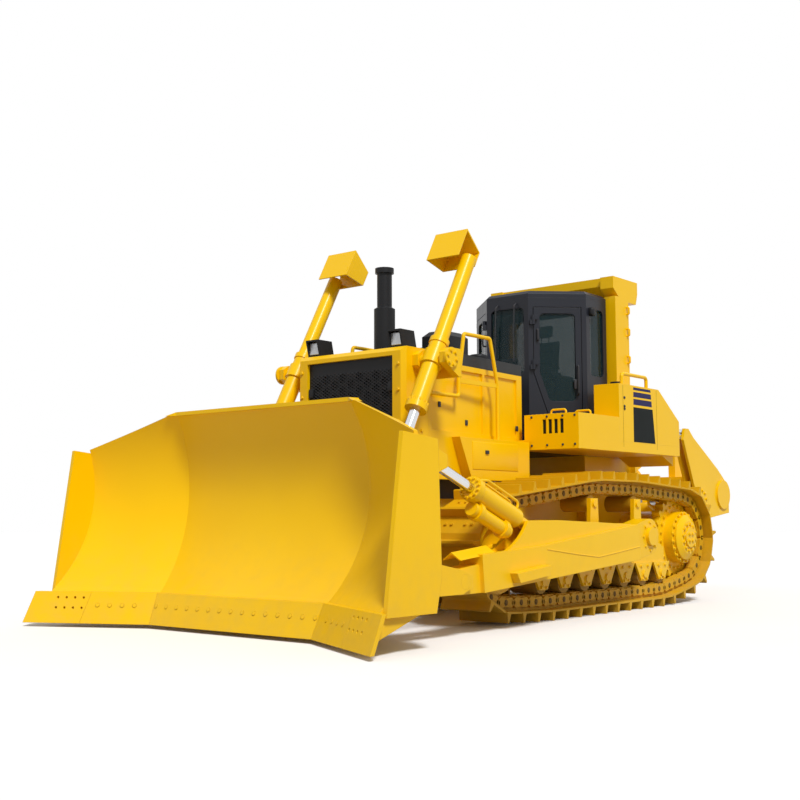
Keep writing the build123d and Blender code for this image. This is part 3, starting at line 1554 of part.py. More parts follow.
# Ripper beam: a box across the machine with the shank's pocket
shank_y = beam_pivot_y + shank_back
pocket_rear = shank_y + pocket_front
with BuildPart() as ripper_beam:
    plate([
        (shank_y - pocket_front, pocket_low),
        (pocket_rear, pocket_rear_low),
        (pocket_rear, pocket_rear_high),
        (shank_y - pocket_front, pocket_high),
    ], -ripper_inner, ripper_inner)
    block((-shank_thickness / 2, shank_thickness / 2),
          (shank_y - shank_depth / 2, shank_y + shank_depth / 2), (pocket_low - lug_root, pocket_high),
          Mode.SUBTRACT)
save(ripper_beam, "ripper_beam")

# Side plates of the beam: two each side up to the tilt cylinder's ear, and one beside the arm
lower_front = [
    (beam_pivot_y - lug_radius, beam_pivot_z - side_plate),
    (beam_pivot_y - side_plate, beam_pivot_z - lug_radius - side_plate),
]
side_outline = [
    (beam_ear_y - lug_radius, beam_ear_z - lift_eye_radius),
    *lower_front,
    (shank_y - pocket_front, pocket_low),
    (pocket_rear, pocket_rear_low),
    (pocket_rear, pocket_rear_high),
    (shank_y - side_plate, pocket_high + lug_radius),
    (beam_ear_y + 2 * lug_radius, beam_ear_z - side_plate),
    (beam_ear_y + ripper_pin_radius, beam_ear_z + lift_eye_radius),
    (beam_ear_y - ripper_pin_radius, beam_ear_z + lift_eye_radius),
]
inner_outline = [
    *lower_front,
    (shank_y - pocket_front, pocket_low),
    (shank_y - pocket_front, pocket_high),
    (beam_pivot_y, beam_pivot_z + 2 * lug_radius),
]
ripper_outer = ripper_inner + side_plate
fork_x = ripper_arm_x - ripper_arm_half - 2 * eye_gap
with BuildPart() as ripper_side_plates:
    plate(side_outline, ripper_inner, ripper_outer)
    bar(shank_y + lug_radius, (pocket_rear_low + pocket_high) / 2, ripper_disc_radius, ripper_outer,
        ripper_outer + ripper_disc)
    for near_x, outline in ((ripper_fork - side_plate, side_outline), (fork_x - side_plate, inner_outline)):
        plate(outline, near_x, near_x + side_plate)
    plate([(shank_y - pocket_front, 0), (pocket_rear, 0), (pocket_rear, shank_top),
           (shank_y - pocket_front, shank_top)], 0, ripper_inner, Mode.SUBTRACT)
    bar(beam_pivot_y, beam_pivot_z, ripper_pin_radius + pin_gap, 0, ripper_outer, Mode.SUBTRACT)
    mirror(about=Plane.YZ)
save(ripper_side_plates, "ripper_side_plates")

# Ripper pivot pins between the arm and the beam
with BuildPart() as ripper_pins:
    bar(beam_pivot_y, beam_pivot_z, ripper_pin_radius, fork_x - side_plate, ripper_fork)
    mirror(about=Plane.YZ)
save(ripper_pins, "ripper_pins")

# Ripper shank with its tooth
with BuildPart() as ripper_shank:
    front = shank_y - shank_depth / 2
    rear = shank_y + shank_depth / 2
    tip = front - shank_tip_reach
    plate([
        (front, shank_top),
        (front, shank_front_z),
        (front - shank_bend, shank_front_bend_z),
        (tip, shank_tip_z),
        (tip + shank_tooth, shank_tooth_z),
        (rear - shank_bend, shank_rear_bend_z),
        (rear, shank_rear_z),
        (rear, shank_top),
    ], -shank_thickness / 2, shank_thickness / 2)
save(ripper_shank, "ripper_shank")

# Ripper lift cylinders, between the bracket and the arm's lugs
ripper_lift_pivot = (ripper_lift_y, ripper_lift_z)
lug_point = (lug_y, lug_z)
ripper_lift_length = math.hypot(lug_y - ripper_lift_y, lug_z - ripper_lift_z)
with BuildPart() as ripper_lift_barrels:
    eye_half = lift_lane - eye_gap
    bar(ripper_lift_y, ripper_lift_z, ripper_eye_radius, ripper_lift_x - eye_half, ripper_lift_x + eye_half)
    rod(ripper_lift_x, ripper_lift_pivot, lug_point, ripper_lift_radius, 0, ripper_barrel_end)
    bar(ripper_lift_y, ripper_lift_z, ripper_pin_radius + pin_gap, ripper_lift_x - eye_half,
        ripper_lift_x + eye_half, Mode.SUBTRACT)
    rod(ripper_lift_x, ripper_lift_pivot, lug_point, ripper_rod_radius + pin_gap, ripper_bore_from,
        ripper_barrel_end, Mode.SUBTRACT)
    mirror(about=Plane.YZ)
save(ripper_lift_barrels, "ripper_lift_barrels")
with BuildPart() as ripper_lift_rods:
    rod(ripper_lift_x, ripper_lift_pivot, lug_point, ripper_rod_radius, ripper_rod_from,
        ripper_lift_length - ripper_rod_radius)
    bar(lug_y, lug_z, lift_eye_radius, ripper_lift_x - ripper_rod_half, ripper_lift_x + ripper_rod_half)
    mirror(about=Plane.YZ)
save(ripper_lift_rods, "ripper_lift_rods")

# Ripper tilt cylinders, between the bracket's top and the beam's ears
ripper_tilt_pivot = (ripper_tilt_y, ripper_tilt_z)
beam_ear = (beam_ear_y, beam_ear_z)
ripper_tilt_length = math.hypot(beam_ear_y - ripper_tilt_y, beam_ear_z - ripper_tilt_z)
with BuildPart() as ripper_tilt_barrels:
    eye_half = tilt_lane - eye_gap
    bar(ripper_tilt_y, ripper_tilt_z, ripper_eye_radius, ripper_tilt_x - eye_half, ripper_tilt_x + eye_half)
    rod(ripper_tilt_x, ripper_tilt_pivot, beam_ear, ripper_tilt_radius, 0, ripper_barrel_end)
    bar(ripper_tilt_y, ripper_tilt_z, ripper_pin_radius + pin_gap, ripper_tilt_x - eye_half,
        ripper_tilt_x + eye_half, Mode.SUBTRACT)
    rod(ripper_tilt_x, ripper_tilt_pivot, beam_ear, ripper_rod_radius + pin_gap, ripper_bore_from,
        ripper_barrel_end, Mode.SUBTRACT)
    mirror(about=Plane.YZ)
save(ripper_tilt_barrels, "ripper_tilt_barrels")
with BuildPart() as ripper_tilt_rods:
    rod(ripper_tilt_x, ripper_tilt_pivot, beam_ear, ripper_rod_radius, ripper_rod_from,
        ripper_tilt_length - ripper_rod_radius)
    fork_half = min(ripper_inner - ripper_tilt_x, ripper_tilt_x - ripper_fork) - eye_gap
    bar(beam_ear_y, beam_ear_z, lift_eye_radius, ripper_tilt_x - fork_half, ripper_tilt_x + fork_half)
    mirror(about=Plane.YZ)
save(ripper_tilt_rods, "ripper_tilt_rods")
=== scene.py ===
import math

import bmesh
import bpy
from mathutils import Matrix, Vector
from mathutils.bvhtree import BVHTree


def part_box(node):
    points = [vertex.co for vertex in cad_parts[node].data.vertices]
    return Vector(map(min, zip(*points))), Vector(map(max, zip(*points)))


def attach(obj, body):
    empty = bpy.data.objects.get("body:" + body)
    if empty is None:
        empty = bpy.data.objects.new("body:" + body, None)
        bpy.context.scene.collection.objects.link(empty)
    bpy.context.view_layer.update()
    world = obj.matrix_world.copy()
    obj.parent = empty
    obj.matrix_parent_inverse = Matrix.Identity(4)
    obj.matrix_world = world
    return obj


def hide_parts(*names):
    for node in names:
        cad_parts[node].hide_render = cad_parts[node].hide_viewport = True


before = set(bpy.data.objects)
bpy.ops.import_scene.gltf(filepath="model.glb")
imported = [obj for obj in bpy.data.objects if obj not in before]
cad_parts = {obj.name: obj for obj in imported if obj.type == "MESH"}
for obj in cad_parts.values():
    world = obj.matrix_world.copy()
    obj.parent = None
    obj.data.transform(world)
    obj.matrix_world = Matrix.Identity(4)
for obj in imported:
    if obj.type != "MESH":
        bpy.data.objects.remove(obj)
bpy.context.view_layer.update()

# Tracks: two chains of forged links under rolled steel shoes with one grouser each.
# Pressed pins join the links and four bolts hold every shoe. All of it is sprayed in
# the machine's gloss yellow enamel, and near the ground the shoes turn browner and
# darker, partly dust and partly painted shade.


class Link:
    """An output socket; sums, products and the like with it add Math nodes to its tree."""

    def __init__(self, tree, socket=None):
        self.tree = tree
        self.socket = socket

    def node(self, kind, sockets=None, out=0, **settings):
        """Adds a node, with its settings set first and then its sockets' values or links."""
        node = self.tree.nodes.new(kind)
        for key, value in settings.items():
            setattr(node, key, value)
        for key, value in (sockets or {}).items():
            for item in value if isinstance(value, list) else [value]:
                if isinstance(item, Link):
                    self.tree.links.new(item.socket, node.inputs[key])
                else:
                    node.inputs[key].default_value = item
        return Link(self.tree, node.outputs[out])

    def feed(self, shader, key):
        """Links this socket to a socket of a shader."""
        self.tree.links.new(self.socket, shader.inputs[key])

    def maths(self, operation, first, second):
        return self.node("ShaderNodeMath", {0: first, 1: second}, operation=operation)

    def __add__(self, other):
        return self.maths("ADD", self, other)

    def __radd__(self, other):
        return self.maths("ADD", other, self)

    def __sub__(self, other):
        return self.maths("SUBTRACT", self, other)

    def __rsub__(self, other):
        return self.maths("SUBTRACT", other, self)

    def __mul__(self, other):
        return self.maths("MULTIPLY", self, other)

    def __rmul__(self, other):
        return self.maths("MULTIPLY", other, self)


def blended(start, share, first, second):
    """A colour between two, by a share from 0 to 1."""
    return start.node("ShaderNodeMix", {0: share, 6: first, 7: second}, 2, data_type="RGBA")


def new_finish(name):
    """A new material, with its shader, the start of its nodes and its Object coordinates."""
    material = bpy.data.materials.new(name)
    material.use_nodes = True
    start = Link(material.node_tree)
    place = start.node("ShaderNodeTexCoord", out="Object")
    return material, material.node_tree.nodes["Principled BSDF"], start, place


drift_scale = 1.3
cloud_scale = 7.0
cloud_roughness = 0.12
peel_scale = 220.0
peel_depth = 0.003
dust_and_shade_height = 1.1
dust_and_shade_brown = (0.32, 0.25, 0.16, 1)
dust_roughness = 0.5
coat_roughness = 0.12


def enamel(name, colour, deep, roughness, peel=0.05, coat=0.06, dust_and_shade=0.35, edge=0.007, shine=0.18):
    """Sprayed paint: slow drift of tone, orange peel, softened edges, and a browner, darker colour near the
    ground that is partly dust and partly painted shade.
    """
    material, shader, start, place = new_finish(name)
    drift = start.node("ShaderNodeTexNoise", {"Vector": place, "Scale": drift_scale, "Detail": 3.0})
    cloud = start.node("ShaderNodeTexNoise", {"Vector": place, "Scale": cloud_scale, "Detail": 6.0})
    fine = start.node("ShaderNodeTexNoise", {"Vector": place, "Scale": peel_scale, "Detail": 2.0})
    height = start.node("ShaderNodeSeparateXYZ", {"Vector": place}, out="Z")
    # Below a set height the paint turns browner and darker towards the ground: partly dust, partly painted
    # shade of the undercarriage.
    low = start.node("ShaderNodeMapRange", {"Value": height, "From Min": dust_and_shade_height, "From Max": 0.0,
                                            "To Min": 0.0, "To Max": 1.0})
    paint = blended(start, drift, (*colour, 1), (*deep, 1))
    dust_and_shade_share = low * cloud * cloud * dust_and_shade
    blended(start, dust_and_shade_share, paint, dust_and_shade_brown).feed(shader, "Base Color")
    rough = roughness + cloud_roughness * (cloud - 0.5) + dust_roughness * dust_and_shade_share
    rough.feed(shader, "Roughness")
    soft = start.node("ShaderNodeBevel", {"Radius": edge}, samples=4)
    bump = start.node("ShaderNodeBump", {"Height": fine, "Strength": peel, "Distance": peel_depth,
                                         "Normal": soft})
    bump.feed(shader, "Normal")
    shader.inputs["Specular IOR Level"].default_value = shine
    shader.inputs["Coat Weight"].default_value = coat
    shader.inputs["Coat Roughness"].default_value = coat_roughness
    return material


def dress(material, *nodes):
    """Gives CAD nodes a material."""
    for node in nodes:
        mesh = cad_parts[node].data
        mesh.materials.clear()
        mesh.materials.append(material)


def tree_of(name, *inputs):
    """An empty geometry tree with named inputs, as its start and the links of those inputs."""
    tree = bpy.data.node_groups.new(name, "GeometryNodeTree")
    tree.interface.new_socket("Geometry", in_out="INPUT", socket_type="NodeSocketGeometry")
    for label, kind in inputs:
        tree.interface.new_socket(label, in_out="INPUT", socket_type=kind)
    tree.interface.new_socket("Geometry", in_out="OUTPUT", socket_type="NodeSocketGeometry")
    given = tree.nodes.new("NodeGroupInput")
    return Link(tree), [Link(tree, socket) for socket in given.outputs if socket.name]


def end_tree(start, shape, finish):
    """Ends a geometry tree in real mesh with its material."""
    real = start.node("GeometryNodeRealizeInstances", {"Geometry": shape})
    done = start.node("GeometryNodeSetMaterial", {"Geometry": real, "Material": finish})
    end = start.tree.nodes.new("NodeGroupOutput")
    start.tree.links.new(done.socket, end.inputs[0])
    return start.tree


def added(name, data):
    """A new object of a mesh, lamp or camera, in the scene's collection."""
    made = bpy.data.objects.new(name, data)
    bpy.context.collection.objects.link(made)
    return made


def kept(name, mesh, body):
    """A finished mesh as a piece that rides on a body."""
    piece = added(name, mesh)
    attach(piece, body)
    return piece


def grown(name, body, slot, tree, mesh, **sizes):
    """Runs a geometry tree on a seed mesh and keeps its result as a plain piece on a body."""
    seed = added(name + "_seed", mesh)
    modifier = seed.modifiers.new("grow", "NODES")
    modifier.node_group = tree
    for item in tree.interface.items_tree:
        if item.in_out == "INPUT" and item.name in sizes:
            modifier[item.identifier] = sizes[item.name]
    graph = bpy.context.evaluated_depsgraph_get()
    made = bpy.data.meshes.new_from_object(seed.evaluated_get(graph))
    seed.modifiers.remove(modifier)
    bpy.data.objects.remove(seed)
    made.name = name
    return kept(name, made, body)


washer_sides = 14
washer_reach = 1.35
washer_share = 0.35
start, (points, radius, height, sides, finish) = tree_of(
    "bolt_heads", ("Radius", "NodeSocketFloat"), ("Height", "NodeSocketFloat"),
    ("Sides", "NodeSocketInt"), ("Finish", "NodeSocketMaterial"))
head = start.node("GeometryNodeMeshCylinder", {"Vertices": sides, "Radius": radius, "Depth": height})
washer = start.node("GeometryNodeMeshCylinder", {"Vertices": washer_sides, "Radius": radius * washer_reach,
                                                 "Depth": height * washer_share})
lift = start.node("ShaderNodeCombineXYZ", {"Z": height * 0.5})
raised = start.node("GeometryNodeTransform", {"Geometry": head, "Translation": lift})
both = start.node("GeometryNodeJoinGeometry", {0: [raised, washer]})
facing = start.node("GeometryNodeInputNamedAttribute", {"Name": "facing"}, data_type="FLOAT_VECTOR")
turn = start.node("FunctionNodeAlignRotationToVector", {"Vector": facing}, axis="Z")
placed = start.node("GeometryNodeInstanceOnPoints", {"Points": points, "Instance": both, "Rotation": turn})
bolt_heads = end_tree(start, placed, finish)


def bolts(name, body, slot, finish, spots, radius, height, sides=6):
    """Bolt heads at (place, facing) spots."""
    mesh = bpy.data.meshes.new(name)
    mesh.from_pydata([place for place, _ in spots], [], [])
    facings = mesh.attributes.new("facing", "FLOAT_VECTOR", "POINT")
    facings.data.foreach_set("vector", [value for _, facing in spots for value in facing])
    return grown(name, body, slot, bolt_heads, mesh, Radius=radius, Height=height, Sides=sides, Finish=finish)


def both_sides(spots):
    """Spots on the left side and their mirror images on the right."""
    return spots + [((-x, y, z), (-a, b, c)) for (x, y, z), (a, b, c) in spots]


def chain_line(circles, spacing):
    """Places round the chain's pitch line from the bottom front roller on, with outward normals."""
    runs = []
    for (y, z, r), (y_next, z_next, r_next) in zip(circles, circles[1:] + circles[:1]):
        span = math.hypot(y_next - y, z_next - z)
        normal = math.atan2(z_next - z, y_next - y) - math.pi / 2 + math.asin((r - r_next) / span)
        runs.append((normal, math.sqrt(span**2 - (r - r_next) ** 2)))
    spots = []
    reach = 0.0
    for (y, z, r), (normal, length), (after, _), (y_next, z_next, r_next) in zip(
        circles, runs, runs[1:] + runs[:1], circles[1:] + circles[:1]
    ):
        while reach < length:
            spots.append((y + r * math.cos(normal) - reach * math.sin(normal),
                          z + r * math.sin(normal) + reach * math.cos(normal), normal))
            reach += spacing
        reach -= length
        turn = (after - normal) % (2 * math.pi) * r_next
        while reach < turn:
            angle = normal + reach / r_next
            spots.append((y_next + r_next * math.cos(angle), z_next + r_next * math.sin(angle), angle))
            reach += spacing
        reach -= turn
    return spots


bright_yellow = (0.94, 0.565, 0.0)
deep_yellow = (0.88, 0.51, 0.0)
gloss = 0.34
yellow = enamel("gloss_yellow", bright_yellow, deep_yellow, gloss)
shoe_yellow = enamel("shoe_yellow", (0.72, 0.4, 0.002), (0.56, 0.3, 0.004), 0.48, dust_and_shade=0.6, coat=0.0)
dress(shoe_yellow, "track_left", "track_right")

# Each wheel as its middle (y, z) and the radius of the pins' line round it
front_roller = (-1.32, 0.39, 0.19)
rear_roller = (1.4, 0.39, 0.19)
sprocket = (2.07, 0.83, 0.51891)
rear_carrier = (0.748, 1.25, 0.175)
front_carrier = (-0.274, 1.25, 0.175)
idler = (-2.0655, 0.72, 0.495)
chain_pitch = 0.28
link_count = 41
wheels = [front_roller, rear_roller, sprocket, rear_carrier, front_carrier, idler]
chain = chain_line(wheels, chain_pitch)[:link_count]
link_runs = list(zip(chain, chain[1:] + chain[:1]))
track_middle = 1.25
link_faces = ((1.0875, -1), (1.4125, 1))
shoe_bolt_ahead = 0.165
shoe_face = 0.107
shoe_bolt_sides = (-0.165, -0.085, 0.085, 0.165)
pin_spots = []
shoe_spots = []
for (y, z, _), (y_next, z_next, _) in link_runs:
    pin_spots += [((x, y, z), (look, 0, 0)) for x, look in link_faces]
    along = Vector((0, y_next - y, z_next - z)).normalized()
    out = Vector((0, along.z, -along.y))
    middle = Vector((track_middle, y, z)) + along * shoe_bolt_ahead + out * shoe_face
    shoe_spots += [((middle.x + side, middle.y, middle.z), tuple(out)) for side in shoe_bolt_sides]
bolts("track_pins", "tractor", "yellow", shoe_yellow, both_sides(pin_spots), radius=0.03, height=0.03,
      sides=16)
bolts("shoe_bolts", "tractor", "yellow", shoe_yellow, both_sides(shoe_spots), radius=0.017, height=0.018)

start, (places, plate, finish) = tree_of(
    "side_links", ("Plate", "NodeSocketObject"), ("Finish", "NodeSocketMaterial"))
facing = start.node("GeometryNodeInputNamedAttribute", {"Name": "facing"}, data_type="FLOAT_VECTOR")
along = start.node("GeometryNodeInputNamedAttribute", {"Name": "along"}, data_type="FLOAT_VECTOR")
upright = start.node("FunctionNodeAlignRotationToVector", {"Vector": facing}, axis="Z")
turned = start.node("FunctionNodeAlignRotationToVector", {"Rotation": upright, "Vector": along}, axis="X",
                    pivot_axis="Z")
shape = start.node("GeometryNodeObjectInfo", {"Object": plate}, out="Geometry")
laid = start.node("GeometryNodeInstanceOnPoints", {"Points": places, "Instance": shape, "Rotation": turned})
side_links = end_tree(start, laid, finish)
link_length = 0.09
link_height = 0.056
link_waist = 0.044
link_plate = 0.03
link_end = 0.8 * link_height
end_steps = 3
end_turn = math.radians(28)
outline = []
for side in (1, -1):
    for step in range(-end_steps, end_steps + 1):
        outline.append((side * (link_length + link_end * math.cos(end_turn * step)),
                        side * link_height * math.sin(end_turn * step)))
    outline.append((0.0, side * link_waist))
shape = bmesh.new()
outer = shape.faces.new([shape.verts.new((x, y, 0.0)) for x, y in outline])
raised = bmesh.ops.extrude_face_region(shape, geom=[outer])["geom"]
corners = [item for item in raised if isinstance(item, bmesh.types.BMVert)]
bmesh.ops.translate(shape, vec=(0, 0, link_plate), verts=corners)
bmesh.ops.recalc_face_normals(shape, faces=shape.faces[:])
link_mesh = bpy.data.meshes.new("link_plate")
shape.to_mesh(link_mesh)
shape.free()
link_shape = added("link_plate", link_mesh)
link_middles = []
link_facings = []
link_alongs = []
for (y, z, _), (y_next, z_next, _) in link_runs:
    for side in (1, -1):
        for x, look in link_faces:
            link_middles.append((side * x, (y + y_next) / 2, (z + z_next) / 2))
            link_facings += [side * look, 0, 0]
            link_alongs += [0, y_next - y, z_next - z]
mesh = bpy.data.meshes.new("side_links")
mesh.from_pydata(link_middles, [], [])
mesh.attributes.new("facing", "FLOAT_VECTOR", "POINT").data.foreach_set("vector", link_facings)
mesh.attributes.new("along", "FLOAT_VECTOR", "POINT").data.foreach_set("vector", link_alongs)
grown("side_links", "tractor", "yellow", side_links, mesh, Plate=link_shape, Finish=shoe_yellow)
bpy.data.objects.remove(link_shape)
# Dark squares on the link plates are painted shade that stands for the shadowed windows of the links.
link_window_painted_shade = enamel("link_window_painted_shade", (0.2, 0.11, 0.006), (0.13, 0.075, 0.006), 0.6, dust_and_shade=0.6, coat=0.0)
shaded_window_spots = [((x + link_plate * look, y, z), (look, 0, 0)) for (x, y, z), look in
                zip(link_middles, link_facings[::3])]
bolts("link_windows", "tractor", "yellow", link_window_painted_shade, shaded_window_spots, radius=0.024, height=0.004, sides=4)

# Track frames: welded box beams that carry the rollers and the idler. The sprocket runs
# round a domed final drive whose covers are bolted on in rings. Cast hubs, all painted.


def ring_of(centre, radius, count, facing, turn=0.0):
    """Spots in a circle round a centre, on a face that looks along the facing direction."""
    axis = Vector(facing)
    side = axis.orthogonal().normalized()
    over = axis.cross(side)
    angles = [turn + 2 * math.pi * index / count for index in range(count)]
    return [(tuple(Vector(centre) + radius * (math.cos(angle) * side + math.sin(angle) * over)), tuple(axis))
            for angle in angles]


faces_of = {}


def on_face(node, outside, towards):
    """Where a line from outside first meets a CAD node, with the way its face looks there."""
    if node not in faces_of:
        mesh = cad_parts[node].data
        faces_of[node] = BVHTree.FromPolygons([point.co for point in mesh.vertices],
                                              [face.vertices for face in mesh.polygons])
    place, normal, _, _ = faces_of[node].ray_cast(Vector(outside), Vector(towards).normalized())
    return tuple(place), tuple(normal)


dress(yellow, "track_frames", "idlers", "sprockets")
# The rollers get a darker copy of the machine's yellow: painted shade under the track frame, on top of the
# heavy browning near the ground.
roller_shaded_yellow = enamel("roller_shaded_yellow", (0.5, 0.27, 0.006), (0.26, 0.14, 0.006), 0.5, dust_and_shade=0.9, coat=0.0)
dress(roller_shaded_yellow, "rollers")
leftward = (1, 0, 0)
inward = (-1, 0, 0)

# Each ring of the final drive as the x of its face, its radius, its count and its turn
drive_rings = ((1.43, 0.31, 20, 0.0), (1.51, 0.17, 12, 0.1), (1.305, 0.4, 23, 0.0), (1.534, 0.06, 4, 0.0))
drive_spots = []
for x, radius, count, turn in drive_rings:
    drive_spots += ring_of((x, *sprocket[:2]), radius, count, leftward, turn)
bolts("drive_bolts", "tractor", "yellow", yellow, both_sides(drive_spots), radius=0.019, height=0.02)
beside_track = 1.6
roller_count = 7
roller_spacing = (rear_roller[0] - front_roller[0]) / (roller_count - 1)
cap_height = 0.4
cheek_bolts = ((-0.05, 0.345), (0.05, 0.345), (-0.085, 0.5), (0.085, 0.5))
post_bolt_height = 0.9
post_bolt_half = 0.07
cap_spots = []
cheek_spots = []
for index in range(roller_count):
    y = front_roller[0] + index * roller_spacing
    cap_spots.append((on_face("track_frames", (beside_track, y, cap_height), inward)[0], leftward))
    for shift, z in cheek_bolts:
        cheek_spots.append(on_face("track_frames", (beside_track, y + shift, z), inward))
for y, z, _ in (front_carrier, rear_carrier):
    cap_spots.append((on_face("track_frames", (beside_track, y, z), inward)[0], leftward))
    for shift in (-post_bolt_half, post_bolt_half):
        cheek_spots.append(on_face("track_frames", (beside_track, y + shift, post_bolt_height), inward))
idler_hub = on_face("idlers", (beside_track, *idler[:2]), inward)[0]
cheek_spots += ring_of(idler_hub, radius=0.07, count=8, facing=leftward)
bolts("roller_caps", "tractor", "yellow", yellow, both_sides(cap_spots), radius=0.042, height=0.018, sides=20)
bolts("cheek_bolts", "tractor", "yellow", yellow, both_sides(cheek_spots), radius=0.016, height=0.018)

# Main frame and engine: the welded hull with the drive case at its rear, and the engine's
# iron block behind its panels. The hull is painted, and the block is left as cast.
dress(yellow, "main_frame")
cast = enamel("cast_iron", (0.16, 0.16, 0.16), (0.11, 0.11, 0.11), 0.6, peel=0.3, coat=0.0)
dress(cast, "engine_block")

# Radiator guard: a bolted box of plate round the radiator, with the lift cylinders' yoke
# brackets on its sides and a black pressed grille of six-sided holes under a blank band.
# A mesh of crossed wires lies over the holes, and behind them a near-black sheet stands for
# the radiator core: its black paint together with painted shade inside the guard.
black = enamel("satin_black", (0.013, 0.0135, 0.015), (0.009, 0.0095, 0.011), 0.45, coat=0.0, dust_and_shade=0.1,
               shine=0.2)
dress(yellow, "radiator_guard", "yoke_brackets")
dress(black, "grille")
guard_front = -2.837
guard_side = 0.765
front_bolt_x = 0.69
front_bolt_heights = (1.42, 1.75, 2.08, 2.41, 2.68)
side_bolt_ys = (-2.72, -2.55)
side_bolt_heights = (1.2, 1.6, 2.0, 2.3)
yoke_y, yoke_z = -2.62, 2.72
guard_spots = [((front_bolt_x, guard_front, z), (0, -1, 0)) for z in front_bolt_heights]
guard_spots += [((guard_side, y, z), leftward) for y in side_bolt_ys for z in side_bolt_heights]
yoke_face = on_face("yoke_brackets", (beside_track, yoke_y, yoke_z), inward)[0]
guard_spots += ring_of(yoke_face, radius=0.075, count=6, facing=leftward)
bolts("guard_bolts", "tractor", "yellow", yellow, both_sides(guard_spots), radius=0.017, height=0.016)
smooth_angle = math.radians(40)


def block_shape(low, high):
    """The matrix that makes a unit cube the block between two corners."""
    middle = [(a + b) / 2 for a, b in zip(low, high)]
    return Matrix.Translation(middle) @ Matrix.Diagonal((*[b - a for a, b in zip(low, high)], 1))


def rounded_boxes(name, body, finish, boxes, bevel, place=None):
    """Blocks with rounded edges, each given by two corners, set by a matrix if there is one."""
    shape = bmesh.new()
    for low, high in boxes:
        bmesh.ops.create_cube(shape, size=1, matrix=block_shape(low, high))
    bmesh.ops.bevel(shape, geom=shape.edges[:], offset=bevel, segments=3, profile=0.5, affect="EDGES",
                    clamp_overlap=True)
    if place is not None:
        bmesh.ops.transform(shape, matrix=place, verts=shape.verts[:])
    bmesh.ops.recalc_face_normals(shape, faces=shape.faces[:])
    mesh = bpy.data.meshes.new(name)
    shape.to_mesh(mesh)
    shape.free()
    mesh.materials.append(finish)
    mesh.shade_smooth()
    mesh.set_sharp_from_angle(angle=smooth_angle)
    return kept(name, mesh, body)


def mirrored_boxes(boxes):
    """Boxes on the left side and their mirror images."""
    return boxes + [((-high[0], *low[1:]), (-low[0], *high[1:])) for low, high in boxes]


bend_steps = 6
start, (rails, radius, bend, sides, finish) = tree_of(
    "bent_bars", ("Radius", "NodeSocketFloat"), ("Bend", "NodeSocketFloat"), ("Sides", "NodeSocketInt"),
    ("Finish", "NodeSocketMaterial"))
line = start.node("GeometryNodeMeshToCurve", {"Mesh": rails})
eased = start.node("GeometryNodeFilletCurve", {"Curve": line, "Count": bend_steps, "Radius": bend,
                                               "Limit Radius": True}, mode="POLY")
section = start.node("GeometryNodeCurvePrimitiveCircle", {"Resolution": sides, "Radius": radius})
barred = start.node("GeometryNodeCurveToMesh", {"Curve": eased, "Profile Curve": section, "Fill Caps": True})
smooth = start.node("GeometryNodeSetShadeSmooth", {"Geometry": barred})
bent_bars = end_tree(start, smooth, finish)


def bars(name, body, slot, finish, lines, radius, bend, sides=12):
    """Round bars bent along lines of points."""
    places = []
    edges = []
    for line in lines:
        edges += [(len(places) + index, len(places) + index + 1) for index in range(len(line) - 1)]
        places += line
    mesh = bpy.data.meshes.new(name)
    mesh.from_pydata(places, edges, [])
    return grown(name, body, slot, bent_bars, mesh, Radius=radius, Bend=bend, Sides=sides, Finish=finish)


def mirrored_lines(lines):
    """Lines on the left side and their mirror images."""
    return lines + [[(-x, y, z) for x, y, z in line] for line in lines]


mesh_half = 0.585
mesh_low = 1.3
mesh_high = 2.64
mesh_pitch = 0.034
mesh_slope = 0.6
mesh_rise = 2 * mesh_half * mesh_slope
mesh_proud = 0.004
grille_front = on_face("grille", (0, -3.4, 2.7), (0, 1, 0))[0][1]
wires = []
for index in range(int((mesh_high - mesh_low + mesh_rise) / mesh_pitch)):
    foot = mesh_low - mesh_rise + index * mesh_pitch
    begin = max(0.0, (mesh_low - foot) / mesh_slope)
    end = min(2 * mesh_half, (mesh_high - foot) / mesh_slope)
    if end - begin > mesh_pitch:
        for side in (1, -1):
            wires.append([(side * (reach - mesh_half), grille_front - mesh_proud, foot + reach * mesh_slope)
                          for reach in (begin, end)])
mesh_black = enamel("mesh_black", (0.03, 0.031, 0.034), (0.022, 0.023, 0.026), 0.35, coat=0.1, dust_and_shade=0.0,
                    edge=0.001)
bars("grille_mesh", "tractor", "black", mesh_black, wires, radius=0.0045, bend=0.0, sides=6)
# The core's sheet is darker than black paint: it carries painted shade of the guard's inside and the core's
# fins.
core_and_shade = enamel("radiator_core", (0.012, 0.012, 0.013), (0.006, 0.006, 0.007), 0.7, coat=0.0, dust_and_shade=0.0)
core_front = grille_front + 0.0355
core_rear = grille_front + 0.0385
core_foot = mesh_low - 0.02
rounded_boxes("radiator_core", "tractor", core_and_shade,
              [((-mesh_half, core_front, core_foot), (mesh_half, core_rear, mesh_high))], bevel=0.001)
catch = ((0.535, grille_front - 0.03, 2.4), (0.6, grille_front - 0.001, 2.5))
rounded_boxes("grille_catches", "tractor", black, mirrored_boxes([catch]), bevel=0.008)

